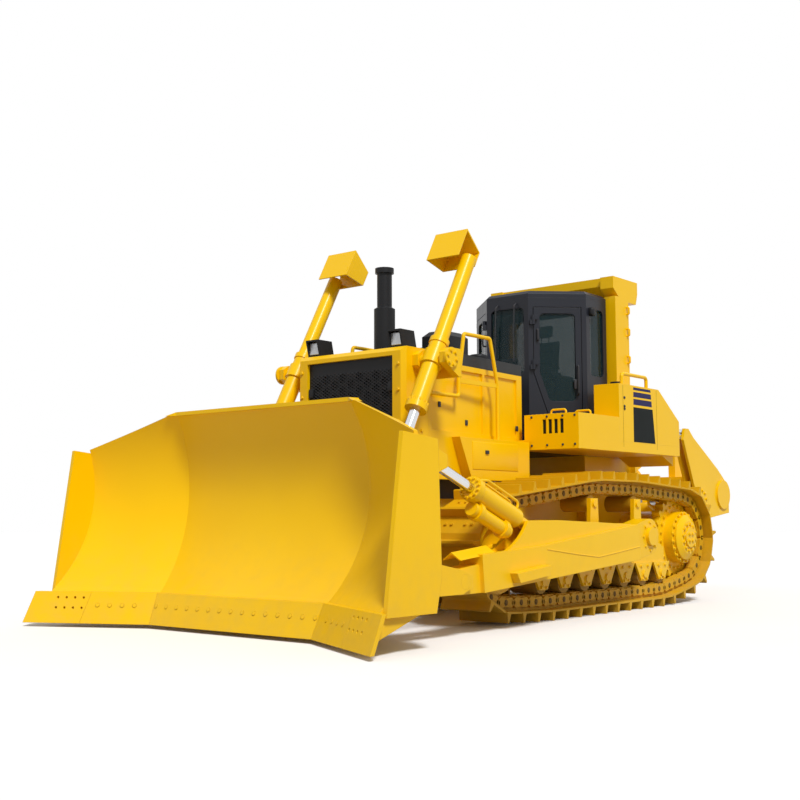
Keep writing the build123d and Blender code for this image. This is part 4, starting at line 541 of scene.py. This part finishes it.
# Hood and engine sides: a black sheet hood with a yellow rim, hinged side doors with inset
# latches, and a lower skirt door with a pull. Pressed from sheet steel and painted.
hood_black = enamel("hood_black", (0.02, 0.021, 0.022), (0.014, 0.015, 0.016), 0.4, coat=0.0, dust_and_shade=0.0,
                    shine=0.25)
dark_steel = enamel("dark_steel", (0.05, 0.05, 0.055), (0.035, 0.035, 0.04), 0.4, coat=0.0, dust_and_shade=0.0)
dress(hood_black, "hood")
dress(yellow, "engine_sides", "handrails")
beside_hood = 1.5
latch_places = ((-1.669, 2.134), (-1.0, 2.13), (-2.2, 2.3), (-0.6, 2.13))
latch_half_width = 0.022
latch_half_height = 0.03
latch_sunk = 0.004
latch_proud = 0.012
latches = []
for y, z in latch_places:
    x = on_face("engine_sides", (beside_hood, y, z), inward)[0][0]
    latches.append(((x - latch_sunk, y - latch_half_width, z - latch_half_height),
                    (x + latch_proud, y + latch_half_width, z + latch_half_height)))
skirt_x = on_face("engine_sides", (beside_hood, -1.5, 1.8), inward)[0][0]
pull_proud = 0.022
latches.append(((skirt_x, -1.53, 1.79), (skirt_x + pull_proud, -1.47, 1.83)))
rounded_boxes("door_latches", "tractor", dark_steel, mirrored_boxes(latches), bevel=0.005)
skirt_sheet = 0.006
skirt = ((skirt_x - skirt_sheet, -1.76, 1.615), (skirt_x + skirt_sheet, -0.88, 1.92))
rounded_boxes("skirt_door", "tractor", yellow, mirrored_boxes([skirt]), bevel=0.005)

# Exhaust, air intake and lamps: rolled black stack with a flared lip, a boxed air cleaner,
# and two lamp housings with fluted lenses over bright reflectors, bolted to the hood.
dress(black, "exhaust_stack", "air_intake", "head_lamps")
lens, shader, start, place = new_finish("lamp_lens")
flutes = start.node("ShaderNodeTexWave", {"Vector": place, "Scale": 18.0}, out="Fac", bands_direction="X")
blended(start, flutes, (0.36, 0.38, 0.4, 1), (0.6, 0.62, 0.64, 1)).feed(shader, "Base Color")
ripple = start.node("ShaderNodeBump", {"Height": flutes, "Strength": 0.3, "Distance": 0.004})
ripple.feed(shader, "Normal")
shader.inputs["Metallic"].default_value = 0.6
shader.inputs["Roughness"].default_value = 0.12
lamp_low, lamp_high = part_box("head_lamps")
lamp_front = lamp_low.y + 0.045
lens_rim = 0.025
head_lens = ((0.515, lamp_front - 0.004, lamp_low.z + lens_rim),
             (0.665, lamp_front + 0.02, lamp_high.z - lens_rim))
rounded_boxes("lamp_lenses", "tractor", lens, mirrored_boxes([head_lens]), bevel=0.012)

# Fenders and tanks: welded boxes over the tracks with the fuel and oil tanks behind. The
# fender's front has four slots, lift handles stand on its top among tread studs, and the
# tank's side carries plain stripes of film.
dress(yellow, "fenders", "side_tanks", "rear_tank")
navy = enamel("navy_film", (0.006, 0.004, 0.07), (0.005, 0.004, 0.055), 0.4, coat=0.0, dust_and_shade=0.0, edge=0.001,
              shine=0.15)
panel_black = enamel("panel_film", (0.009, 0.012, 0.011), (0.007, 0.009, 0.0085), 0.5, coat=0.0, dust_and_shade=0.0,
                     edge=0.001, shine=0.06)
# A dark brownish yellow for painted shade in the grooves of the tanks' panel joints.
seam_painted_shade = enamel("seam_painted_shade", (0.3, 0.17, 0.0), (0.24, 0.13, 0.0), 0.6, coat=0.0, dust_and_shade=0.0, edge=0.001)
tank_side = 1.49
film_proud = 0.0008


def film(name, finish, outlines):
    """Thin films stuck on the tanks' two sides, each an outline in (y, z)."""
    places = []
    faces = []
    for side in (1, -1):
        for outline in outlines:
            first = len(places)
            places += [(side * (tank_side + film_proud), y, z) for y, z in outline]
            loop = list(range(first, len(places)))
            faces.append(loop if side > 0 else loop[::-1])
    mesh = bpy.data.meshes.new(name)
    mesh.from_pydata(places, [], faces)
    mesh.materials.append(finish)
    return kept(name, mesh, "tractor")


# Each stripe as its lower edge, its upper edge and where it ends at the rear
stripe_rows = ((2.636, 2.668, 1.135), (2.55, 2.612, 1.146), (2.455, 2.527, 1.16))
stripe_front = 0.685
stripe_rake = 0.005
stripe_slant = 0.007
stripes = [[(stripe_front, low), (rear, low), (rear - stripe_slant, high), (stripe_front + stripe_rake, high)]
           for low, high, rear in stripe_rows]
film("tank_stripes", navy, stripes)
panel_outline = [(0.68, 2.0), (1.235, 2.0), (1.178, 2.425), (0.683, 2.425)]
film("tank_panel", panel_black, [panel_outline])
fender_front = -0.61
fender_spots = [((x, fender_front, z), (0, -1, 0)) for x in (0.86, 1.07, 1.28, 1.44) for z in (1.92, 2.25)]
bolts("fender_bolts", "tractor", "yellow", dark_steel, both_sides(fender_spots), radius=0.011, height=0.01)
stud_rows = 13
stud_columns = 12
stud_across = 0.055
stud_along = 0.06
stud_corner = (0.74, -0.56)
above_deck = 3.0
downward = (0, 0, -1)
stud_spots = []
for row in range(stud_rows):
    for column in range(stud_columns):
        x = stud_corner[0] + stud_across * (column + row % 2 / 2)
        stud_spots.append(on_face("fenders", (x, stud_corner[1] + stud_along * row, above_deck), downward))
bolts("tread_studs", "tractor", "yellow", yellow, both_sides(stud_spots), radius=0.013, height=0.006, sides=4)
above_tank = 3.4
filler_spots = [on_face("side_tanks", (1.3, y, above_tank), downward) for y in (0.62, 1.75)]
bolts("filler_caps", "tractor", "black", black, both_sides(filler_spots), radius=0.075, height=0.05, sides=28)
behind = 3.4
lamp_z = 2.05
lamp_half = (0.09, 0.07)
lens_half = (0.075, 0.055)
rear_lamps = []
rear_lenses = []
for x, node in ((0.62, "rear_tank"), (1.3, "side_tanks")):
    tail = on_face(node, (x, behind, lamp_z), (0, -1, 0))[0][1]
    rear_lamps.append(((x - lamp_half[0], tail - 0.01, lamp_z - lamp_half[1]),
                       (x + lamp_half[0], tail + 0.05, lamp_z + lamp_half[1])))
    rear_lenses.append(((x - lens_half[0], tail + 0.04, lamp_z - lens_half[1]),
                        (x + lens_half[0], tail + 0.056, lamp_z + lens_half[1])))
rounded_boxes("rear_lamps", "tractor", black, mirrored_boxes(rear_lamps), bevel=0.012)
rounded_boxes("rear_lenses", "tractor", lens, mirrored_boxes(rear_lenses), bevel=0.008)
# Black boxes sit behind the fender's four slots as painted shade inside them.
slot_count = 4
slot_first = 1.011
slot_spacing = 0.078
slot_width = 0.046
slot_shade_boxes = []
for index in range(slot_count):
    left = slot_first + index * slot_spacing
    slot_shade_boxes.append(((left, -0.598, 2.054), (left + slot_width, -0.552, 2.216)))
rounded_boxes("fender_slots", "tractor", black, mirrored_boxes(slot_shade_boxes), bevel=0.003)
# Dark strips of film on the tanks' sides are painted shade in the grooves of their panel joints.
seam_width = 0.006
seam_low = 1.93
seam_high = 2.675
seam_shade_strips = [[(y, seam_low), (y + seam_width, seam_low), (y + seam_width, seam_high), (y, seam_high)]
         for y in (0.425, 1.28)]
film("tank_seams", seam_painted_shade, seam_shade_strips)
catch_spots = [on_face("side_tanks", (2.0, 0.461, z), inward) for z in (2.525, 2.42, 2.39)]
bolts("tank_catches", "tractor", "black", dark_steel, both_sides(catch_spots), radius=0.014, height=0.01,
      sides=12)
box_top = 2.28
handle_rise = 0.065
handle_span = 0.2
handles = [[(x, y, box_top), (x, y, box_top + handle_rise), (x + handle_span, y, box_top + handle_rise),
            (x + handle_span, y, box_top)] for x, y in ((1.0, -0.4), (1.15, -0.1))]
bars("fender_handles", "tractor", "yellow", yellow, mirrored_lines(handles), radius=0.012, bend=0.03)

# Cab: pressed steel shell painted dark grey, with tinted safety glass in its openings and a
# hinged door each side. Pulls, locks, wipers and small lamps are bolted on in black. Inside
# stand a console each side of the seat with two levers, and a dash with a monitor.
charcoal = enamel("cab_charcoal", (0.017, 0.019, 0.027), (0.012, 0.0135, 0.02), 0.38, coat=0.05, dust_and_shade=0.0,
                  shine=0.25)
dress(charcoal, "cab_walls", "cab_roof", "cab_floor", "cab_door_left", "cab_door_right")
glass, shader, start, place = new_finish("tinted_glass")
haze = start.node("ShaderNodeTexNoise", {"Vector": place, "Scale": 3.0, "Detail": 4.0})
blended(start, haze, (0.008, 0.026, 0.03, 1), (0.014, 0.036, 0.042, 1)).feed(shader, "Base Color")
(0.5 + 0.12 * haze).feed(shader, "Alpha")
(0.03 + 0.05 * haze).feed(shader, "Roughness")
shader.inputs["Specular IOR Level"].default_value = 0.22
dress(glass, "cab_glass", "door_glass_left", "door_glass_right")
door_corner = Vector((0.317, 0.176, 0.0))
door_along = Vector((0.7198, 0.6941, 0.0))
door_out = Vector((0.6941, -0.7198, 0.0))
beside_door = 0.4


def on_door(along, z, out):
    """A point by the left door: along it from the cab's front corner, at a height, out from its face."""
    beyond = door_corner + along * door_along + beside_door * door_out + Vector((0, 0, z))
    place, _ = on_face("cab_door_left", beyond, -door_out)
    return tuple(Vector(place) + out * door_out)


pull_sunk = -0.003


def pull_on_door(along, high, low, out):
    """The line of a pull that stands out from the left door between two heights."""
    return [on_door(along, high, pull_sunk), on_door(along, high, out), on_door(along, low, out),
            on_door(along, low, pull_sunk)]


door_pulls = [pull_on_door(0.62, 2.98, 2.62, 0.05), pull_on_door(0.115, 3.44, 3.3, 0.035)]
lock_place = Vector(on_door(0.6, 2.75, 0.0))
lock_box = ((-0.03, -0.004, -0.06), (0.03, 0.022, 0.06))
for side, sign in (("left", 1), ("right", -1)):
    pulls = [[(sign * x, y, z) for x, y, z in line] for line in door_pulls]
    bars("door_pulls_" + side, "door_" + side, "black", dark_steel, pulls, radius=0.011, bend=0.02)
    turned = Matrix(((sign * door_along.x, sign * door_out.x, 0, sign * lock_place.x),
                     (door_along.y, door_out.y, 0, lock_place.y), (0, 0, 1, lock_place.z), (0, 0, 0, 1)))
    rounded_boxes("door_locks_" + side, "door_" + side, dark_steel, [lock_box], bevel=0.006,
                  place=turned)
wall_front = on_face("cab_walls", (0.0, -0.5, 3.78), (0, 1, 0))[0][1]
wiper_x = 0.14
wiper_lean = 0.03
blade_front = wall_front - 0.026
wipers = []
for x in (wiper_x, -wiper_x):
    tip = x - wiper_lean
    wipers.append([(x, wall_front - 0.004, 3.79), (x, wall_front - 0.05, 3.76),
                   (tip, wall_front - 0.03, 3.3)])
    wipers.append([(tip, blade_front, 3.52), (tip, blade_front, 3.05)])
bars("wipers", "tractor", "black", dark_steel, wipers, radius=0.008, bend=0.03)
side_lamp = ((0.83, 0.75, 3.63), (0.91, 0.85, 3.74))
rounded_boxes("cab_lamps", "tractor", black, mirrored_boxes([side_lamp]), bevel=0.03)
console = [((0.31, 0.56, 2.3), (0.46, 0.98, 2.86)), ((0.3, 0.5, 2.84), (0.47, 1.0, 2.9))]
rounded_boxes("cab_consoles", "tractor", charcoal, mirrored_boxes(console), bevel=0.02)
monitor = ((-0.12, 0.205, 2.95), (0.12, 0.235, 3.1))
dash = ((-0.25, 0.205, 2.3), (0.25, 0.235, 2.93))
rounded_boxes("cab_monitor", "tractor", charcoal, [monitor, dash], bevel=0.012)
levers = [[(0.385, 0.58, 2.88), (0.385, 0.57, 3.02)], [(0.42, 0.68, 2.88), (0.42, 0.67, 3.0)]]
bars("cab_levers", "tractor", "black", dark_steel, mirrored_lines(levers), radius=0.012, bend=0.0)
knob_sunk = 0.02
knob_spots = [((x, y, z - knob_sunk), (0, 0, 1)) for _, (x, y, z) in levers]
bolts("lever_knobs", "tractor", "black", black, both_sides(knob_spots), radius=0.026, height=0.06, sides=16)

# Operator seat: foam cushions in woven cloth with sewn channels, on a steel base under a
# ribbed bellows, with padded arms and a headrest on two stays. Each cushion is swollen by
# pressure from a slightly smaller block.
cloth, shader, start, place = new_finish("seat_cloth")
thread_scale = 160.0
weave = {"Vector": place, "Scale": thread_scale, "Distortion": 0.4}
warp = start.node("ShaderNodeTexWave", weave, out="Fac", bands_direction="X")
weft = start.node("ShaderNodeTexWave", weave, out="Fac", bands_direction="Z")
threads = warp * weft
blended(start, threads, (0.02, 0.021, 0.024, 1), (0.06, 0.062, 0.07, 1)).feed(shader, "Base Color")
ribs = start.node("ShaderNodeBump", {"Height": threads, "Strength": 0.4, "Distance": 0.002})
ribs.feed(shader, "Normal")
shader.inputs["Roughness"].default_value = 0.9
shader.inputs["Sheen Weight"].default_value = 0.2
dress(cloth, "operator_seat")
foam_edge = 0.03
voxel = 0.007
held_depth = 0.004
swell_pressure = 4.0
swell_frames = 20
swell_most = 0.024
channel_depth = 0.012
channel_half = 0.009


def swollen(piece, rest, held_axis, held_at):
    """Where cloth pressure takes a cushion's points, with the face that is held kept still."""
    held = piece.vertex_groups.new(name="held")
    still = [index for index, place in enumerate(rest) if abs(place[held_axis] - held_at) < held_depth]
    held.add(still, 1.0, "ADD")
    swell = piece.modifiers.new("swell", "CLOTH")
    swell.settings.vertex_group_mass = "held"
    swell.settings.use_pressure = True
    swell.settings.uniform_pressure_force = swell_pressure
    swell.settings.effector_weights.gravity = 0.0
    scene = bpy.context.scene
    for number in range(1, swell_frames + 1):
        scene.frame_set(number)
    graph = bpy.context.evaluated_depsgraph_get()
    mesh = piece.evaluated_get(graph).to_mesh()
    moved = [point.co.copy() for point in mesh.vertices]
    piece.evaluated_get(graph).to_mesh_clear()
    piece.modifiers.remove(swell)
    piece.vertex_groups.clear()
    scene.frame_set(1)
    return moved


def padded_block(name, low, high, held_axis, held_at, lean, channels):
    """A foam cushion: a rounded block that is swollen, then sewn in channels and leaned back."""
    shape = bmesh.new()
    bmesh.ops.create_cube(shape, size=1, matrix=block_shape(low, high))
    bmesh.ops.bevel(shape, geom=shape.edges[:], offset=foam_edge, segments=4, profile=0.5, affect="EDGES")
    rough = bpy.data.meshes.new(name + "_rough")
    shape.to_mesh(rough)
    shape.free()
    block = added(name + "_rough", rough)
    voxels = block.modifiers.new("voxels", "REMESH")
    voxels.mode = "VOXEL"
    voxels.voxel_size = voxel
    graph = bpy.context.evaluated_depsgraph_get()
    pad = bpy.data.meshes.new_from_object(block.evaluated_get(graph))
    bpy.data.objects.remove(block)
    pad.name = name
    piece = added(name, pad)
    rest = [point.co.copy() for point in pad.vertices]
    for point, before, after in zip(pad.vertices, rest, swollen(piece, rest, held_axis, held_at)):
        step = after - before
        if step.length > swell_most:
            step.length = swell_most
        point.co = before + step
    across = 1 if held_axis == 2 else 2
    thickness = high[held_axis] - low[held_axis]
    sewn = channel_depth if held_at > low[held_axis] else -channel_depth
    for point in pad.vertices:
        above = min(1.0, abs(point.co[held_axis] - held_at) / thickness)
        for channel in channels:
            near = math.exp(-(((point.co[across] - channel) / channel_half) ** 2))
            point.co[held_axis] += sewn * near * above
        point.co.y += lean * (point.co.z - low[2])
    finer = piece.modifiers.new("finer", "SUBSURF")
    finer.levels = 1
    finer.render_levels = 1
    graph = bpy.context.evaluated_depsgraph_get()
    done = bpy.data.meshes.new_from_object(piece.evaluated_get(graph))
    piece.modifiers.remove(finer)
    piece.data = done
    done.name = name
    done.materials.clear()
    done.materials.append(cloth)
    done.shade_smooth()
    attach(piece, "tractor")
    return piece


cushion = padded_block("seat_cushion", (-0.238, 0.545, 2.645), (0.238, 0.985, 2.745), held_axis=2,
                       held_at=2.645, lean=0.0, channels=(0.66, 0.78))
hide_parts("operator_seat")
padded_block("seat_back", (-0.235, 0.925, 2.79), (0.235, 1.005, 3.41), held_axis=1, held_at=1.005,
             lean=0.13, channels=(2.95, 3.1, 3.25))
padded_block("seat_headrest", (-0.125, 1.01, 3.46), (0.125, 1.075, 3.62), held_axis=1, held_at=1.075,
             lean=0.1, channels=())
bellows_count = 8
bellows_foot = 2.33
bellows_pitch = 0.034
bellows_fold = 0.036
bellows_half = 0.15
bellows_wave = 0.012
seat_boxes = [((-0.2, 0.62, 2.292), (0.2, 0.92, bellows_foot)), ((-0.23, 0.56, 2.6), (0.23, 0.97, 2.643))]
for index in range(bellows_count):
    half = bellows_half + bellows_wave * (index % 2)
    foot = bellows_foot + bellows_pitch * index
    seat_boxes.append(((-half, 0.65, foot), (half, 0.89, foot + bellows_fold)))
rounded_boxes("seat_base", "tractor", black, seat_boxes, bevel=0.008)
stays = [[(x, 1.055, 3.38), (x, 1.075, 3.5)] for x in (-0.06, 0.06)]
bars("headrest_stays", "tractor", "chrome", dark_steel, stays, radius=0.008, bend=0.0)
seat_arm = ((0.255, 0.62, 2.92), (0.3, 0.98, 2.965))
rounded_boxes("seat_arms", "tractor", charcoal, mirrored_boxes([seat_arm]), bevel=0.014)
arm_stay = [(0.277, 0.96, 2.94), (0.277, 1.0, 2.72), (0.2, 0.97, 2.62)]
bars("seat_arm_stays", "tractor", "black", dark_steel, mirrored_lines([arm_stay]), radius=0.012, bend=0.03)

# Roll-over frame: a welded box beam on two posts, flanged and bolted to the tanks, with
# grab hooks up the posts. Heavy plate in the machine's yellow.
dress(yellow, "rops")
flange_top = 2.74
post_spots = [((x, y, flange_top), (0, 0, 1)) for y in (1.265, 1.37, 1.46, 1.565) for x in (0.985, 0.785)]
bolts("post_bolts", "tractor", "yellow", yellow, both_sides(post_spots), radius=0.016, height=0.018)
hook_y = 1.535
hook_root = 0.95
hook_out = 1.0
hook_half = 0.045
hooks = []
for z in (3.782, 3.498, 3.136):
    high, low = z + hook_half, z - hook_half
    hooks.append([(hook_root, hook_y, high), (hook_out, hook_y, high), (hook_out, hook_y, low),
                  (hook_root, hook_y, low)])
bars("post_hooks", "tractor", "yellow", yellow, mirrored_lines(hooks), radius=0.012, bend=0.02)

# Push arms and blade: box-section arms, and a rolled mouldboard with a box back, wings and
# end plates. Bolted edges and corner bits of hard steel make its foot.
dress(yellow, "push_arms", "blade", "blade_ears", "blade_pins", "cutting_edges", "end_bits")
before_blade = -5.4
edge_bolt_z = 0.22
edge_bolt_count = 15
edge_bolt_spacing = 0.157
edge_bolt_first = -1.1
middle_xs = [edge_bolt_first + index * edge_bolt_spacing for index in range(edge_bolt_count)]
wing_xs = (1.32, 1.44, 1.56, 1.68)
middle_bolts, wing_bolts = [[on_face("cutting_edges", (x, before_blade, edge_bolt_z), (0, 1, 0)) for x in xs]
                            for xs in (middle_xs, wing_xs)]
bolts("edge_bolts", "blade", "yellow", yellow, middle_bolts + both_sides(wing_bolts), radius=0.02,
      height=0.004, sides=16)
beside_arm = 2.5
trunnion_y, trunnion_z = 0.33, 0.87
eye_ring = ring_of((beside_arm, trunnion_y, trunnion_z), radius=0.16, count=8, facing=leftward)
eye_spots = [on_face("push_arms", place, inward) for place, _ in eye_ring]
weld_places = ((-1.94, 0.775), (-1.4, 0.715), (-0.924, 0.67), (-0.45, 0.715), (0.0, 0.76))
weld = [on_face("push_arms", (beside_arm, y, z), inward)[0] for y, z in weld_places]
bars("arm_welds", "push_frame", "yellow", yellow, mirrored_lines([weld]), radius=0.007, bend=0.02, sides=8)
bolts("eye_bolts", "push_frame", "yellow", yellow, both_sides(eye_spots), radius=0.014, height=0.014)

# Cylinders: honed steel barrels with bolted glands, painted, and hard chromed rods. Two
# painted pipes run along the top of each tilt cylinder's barrel.
chrome, shader, start, place = new_finish("hard_chrome")
grain = start.node("ShaderNodeTexNoise", {"Vector": place, "Scale": 60.0, "Detail": 5.0})
(0.08 + 0.1 * grain).feed(shader, "Roughness")
blended(start, grain, (0.78, 0.79, 0.8, 1), (0.66, 0.67, 0.69, 1)).feed(shader, "Base Color")
shader.inputs["Metallic"].default_value = 1.0
dress(chrome, "lift_rod_left", "lift_rod_right", "tilt_rod_left", "tilt_rod_right", "ripper_lift_rods",
      "ripper_tilt_rods")
dress(yellow, "lift_barrel_left", "lift_barrel_right", "tilt_barrel_left", "tilt_barrel_right",
      "ripper_lift_barrels", "ripper_tilt_barrels")
lift_x = 0.98
lift_eye_y, lift_eye_z = -3.56, 1.0
tilt_x = 1.76
tilt_base_y, tilt_base_z = -1.96, 0.95
tilt_eye_y, tilt_eye_z = -3.66, 1.61
lift_ring = 0.1055
tilt_ring = 0.098
above_gland = 0.35
beyond_gland = 1.5
pipe_half_spacing = 0.045

# The pipes' line as (along, above) from the tilt cylinder's base pin
pipe_line = ((0.44, 0.085), (0.44, 0.15), (1.0, 0.15), (1.12, 0.1))
for side, sign in (("left", 1), ("right", -1)):
    yoke = Vector((sign * lift_x, yoke_y, yoke_z))
    run = (Vector((sign * lift_x, lift_eye_y, lift_eye_z)) - yoke).normalized()
    gland_spots = [on_face("lift_barrel_" + side, spot, run) for spot, _ in
                   ring_of(yoke + above_gland * run, lift_ring, count=16, facing=run)]
    bolts("lift_gland_bolts_" + side, "lift_barrel_" + side, "yellow", yellow, gland_spots, radius=0.009,
          height=0.026)
    base = Vector((sign * tilt_x, tilt_base_y, tilt_base_z))
    run = (Vector((sign * tilt_x, tilt_eye_y, tilt_eye_z)) - base).normalized()
    gland_spots = [on_face("tilt_barrel_" + side, spot, -run) for spot, _ in
                   ring_of(base + beyond_gland * run, tilt_ring, count=12, facing=run)]
    bolts("tilt_gland_bolts_" + side, "tilt_barrel_" + side, "yellow", yellow, gland_spots, radius=0.014,
          height=0.022)
    upward = Vector((0, run.z, -run.y))
    pipes = []
    for shift in (pipe_half_spacing, -pipe_half_spacing):
        aside = base + Vector((sign * shift, 0, 0))
        pipes.append([tuple(aside + along * run + above * upward) for along, above in pipe_line])
    bars("tilt_pipes_" + side, "tilt_barrel_" + side, "yellow", yellow, pipes, radius=0.014, bend=0.04)

# Ripper: a plate bracket on the drive case, an arm, a beam held level by two tilt cylinders,
# and one forged shank in its pocket. Painted plate with bright pins, and a shank whose foot
# is worn to bare steel.
steel = enamel("pin_steel", (0.35, 0.34, 0.32), (0.24, 0.23, 0.22), 0.35, coat=0.0, dust_and_shade=0.2)
dress(yellow, "ripper_bracket", "ripper_lugs", "ripper_arm", "ripper_beam", "ripper_side_plates")
dress(steel, "ripper_lug_pins", "ripper_pins")
worn = enamel("worn_shank", bright_yellow, deep_yellow, gloss)
shader = worn.node_tree.nodes["Principled BSDF"]
paint = Link(worn.node_tree, shader.inputs["Base Color"].links[0].from_socket)
start = Link(worn.node_tree)
place = start.node("ShaderNodeTexCoord", out="Object")
tall = start.node("ShaderNodeSeparateXYZ", {"Vector": place}, out="Z")
scuff = start.node("ShaderNodeTexNoise", {"Vector": place, "Scale": 14.0, "Detail": 8.0})
bare = start.node("ShaderNodeMapRange", {"Value": tall + 0.5 * scuff, "From Min": 0.95, "From Max": 0.55,
                                         "To Min": 0.0, "To Max": 1.0})
blended(start, bare, paint, (0.3, 0.29, 0.28, 1)).feed(shader, "Base Color")
(0.85 * bare).feed(shader, "Metallic")
dress(worn, "ripper_shank")
beam_y, beam_z = 4.23, 1.33
disc_x = on_face("ripper_side_plates", (beside_track, beam_y, beam_z + 0.13), inward)[0][0]
beam_spots = ring_of((disc_x, beam_y, beam_z), radius=0.15, count=10, facing=leftward)
bolts("beam_bolts", "ripper_beam", "yellow", yellow, both_sides(beam_spots), radius=0.018, height=0.02)

# Floor, light and camera: a pale floor under soft studio light, seen from the photo's view.
# The floor and the world look white, and the light that the floor throws back is that of
# bare ground, so that undersides stay in shade.


def seen_directly(start):
    """1 on rays from the camera, also by glass and gloss, and 0 on light that is thrown back."""
    seen = start.node("ShaderNodeLightPath", out="Is Camera Ray")
    for kind in ("Is Transmission Ray", "Is Glossy Ray"):
        ray = start.node("ShaderNodeLightPath", out=kind)
        seen = start.node("ShaderNodeMath", {0: seen, 1: ray}, operation="MAXIMUM")
    return seen


pale_floor, shader, start, place = new_finish("pale_floor")
speckle = start.node("ShaderNodeTexNoise", {"Vector": place, "Scale": 0.4, "Detail": 4.0})
pale = blended(start, speckle, (0.9, 0.9, 0.9, 1), (0.94, 0.94, 0.94, 1))
blended(start, seen_directly(start), (0.42, 0.41, 0.39, 1), pale).feed(shader, "Base Color")
shader.inputs["Roughness"].default_value = 0.9
floor_half = 60
floor_corners = [(x * floor_half, y * floor_half, 0) for x, y in ((-1, -1), (1, -1), (1, 1), (-1, 1))]
floor_mesh = bpy.data.meshes.new("floor")
floor_mesh.from_pydata(floor_corners, [], [(0, 1, 2, 3)])
floor_mesh.materials.append(pale_floor)
added("floor", floor_mesh)
fill_light = 0.4
world = bpy.data.worlds.new("studio")
bpy.context.scene.world = world
world.use_nodes = True
background = world.node_tree.nodes["Background"]
background.inputs["Color"].default_value = (1, 1, 1, 1)
(fill_light + (1 - fill_light) * seen_directly(Link(world.node_tree))).feed(background, "Strength")
sun = bpy.data.lights.new("key", "SUN")
sun.energy = 2.9
sun.angle = math.radians(12)
sun_way = Vector((-0.55, 0.31, -0.775))
added("key", sun).rotation_euler = sun_way.to_track_quat("-Z", "Y").to_euler()
photo_width = 800
focal_pixels = 1169.57
camera = bpy.data.cameras.new("camera")
camera.sensor_width = 36
camera.lens = focal_pixels / photo_width * camera.sensor_width
camera_place = (8.328, -12.0557, 1.1194)
camera_roll = -0.002
look = Vector((-0.63375, 0.76729, 0.09814))
right = look.cross(Vector((0, 0, 1))).normalized()
up = right.cross(look)
across = math.cos(camera_roll) * right + math.sin(camera_roll) * up
over = math.cos(camera_roll) * up - math.sin(camera_roll) * right
eye = added("camera", camera)
eye.matrix_world = Matrix.Translation(camera_place) @ Matrix((across, over, -look)).transposed().to_4x4()
bpy.context.scene.camera = eye
bpy.context.scene.view_settings.view_transform = "Standard"
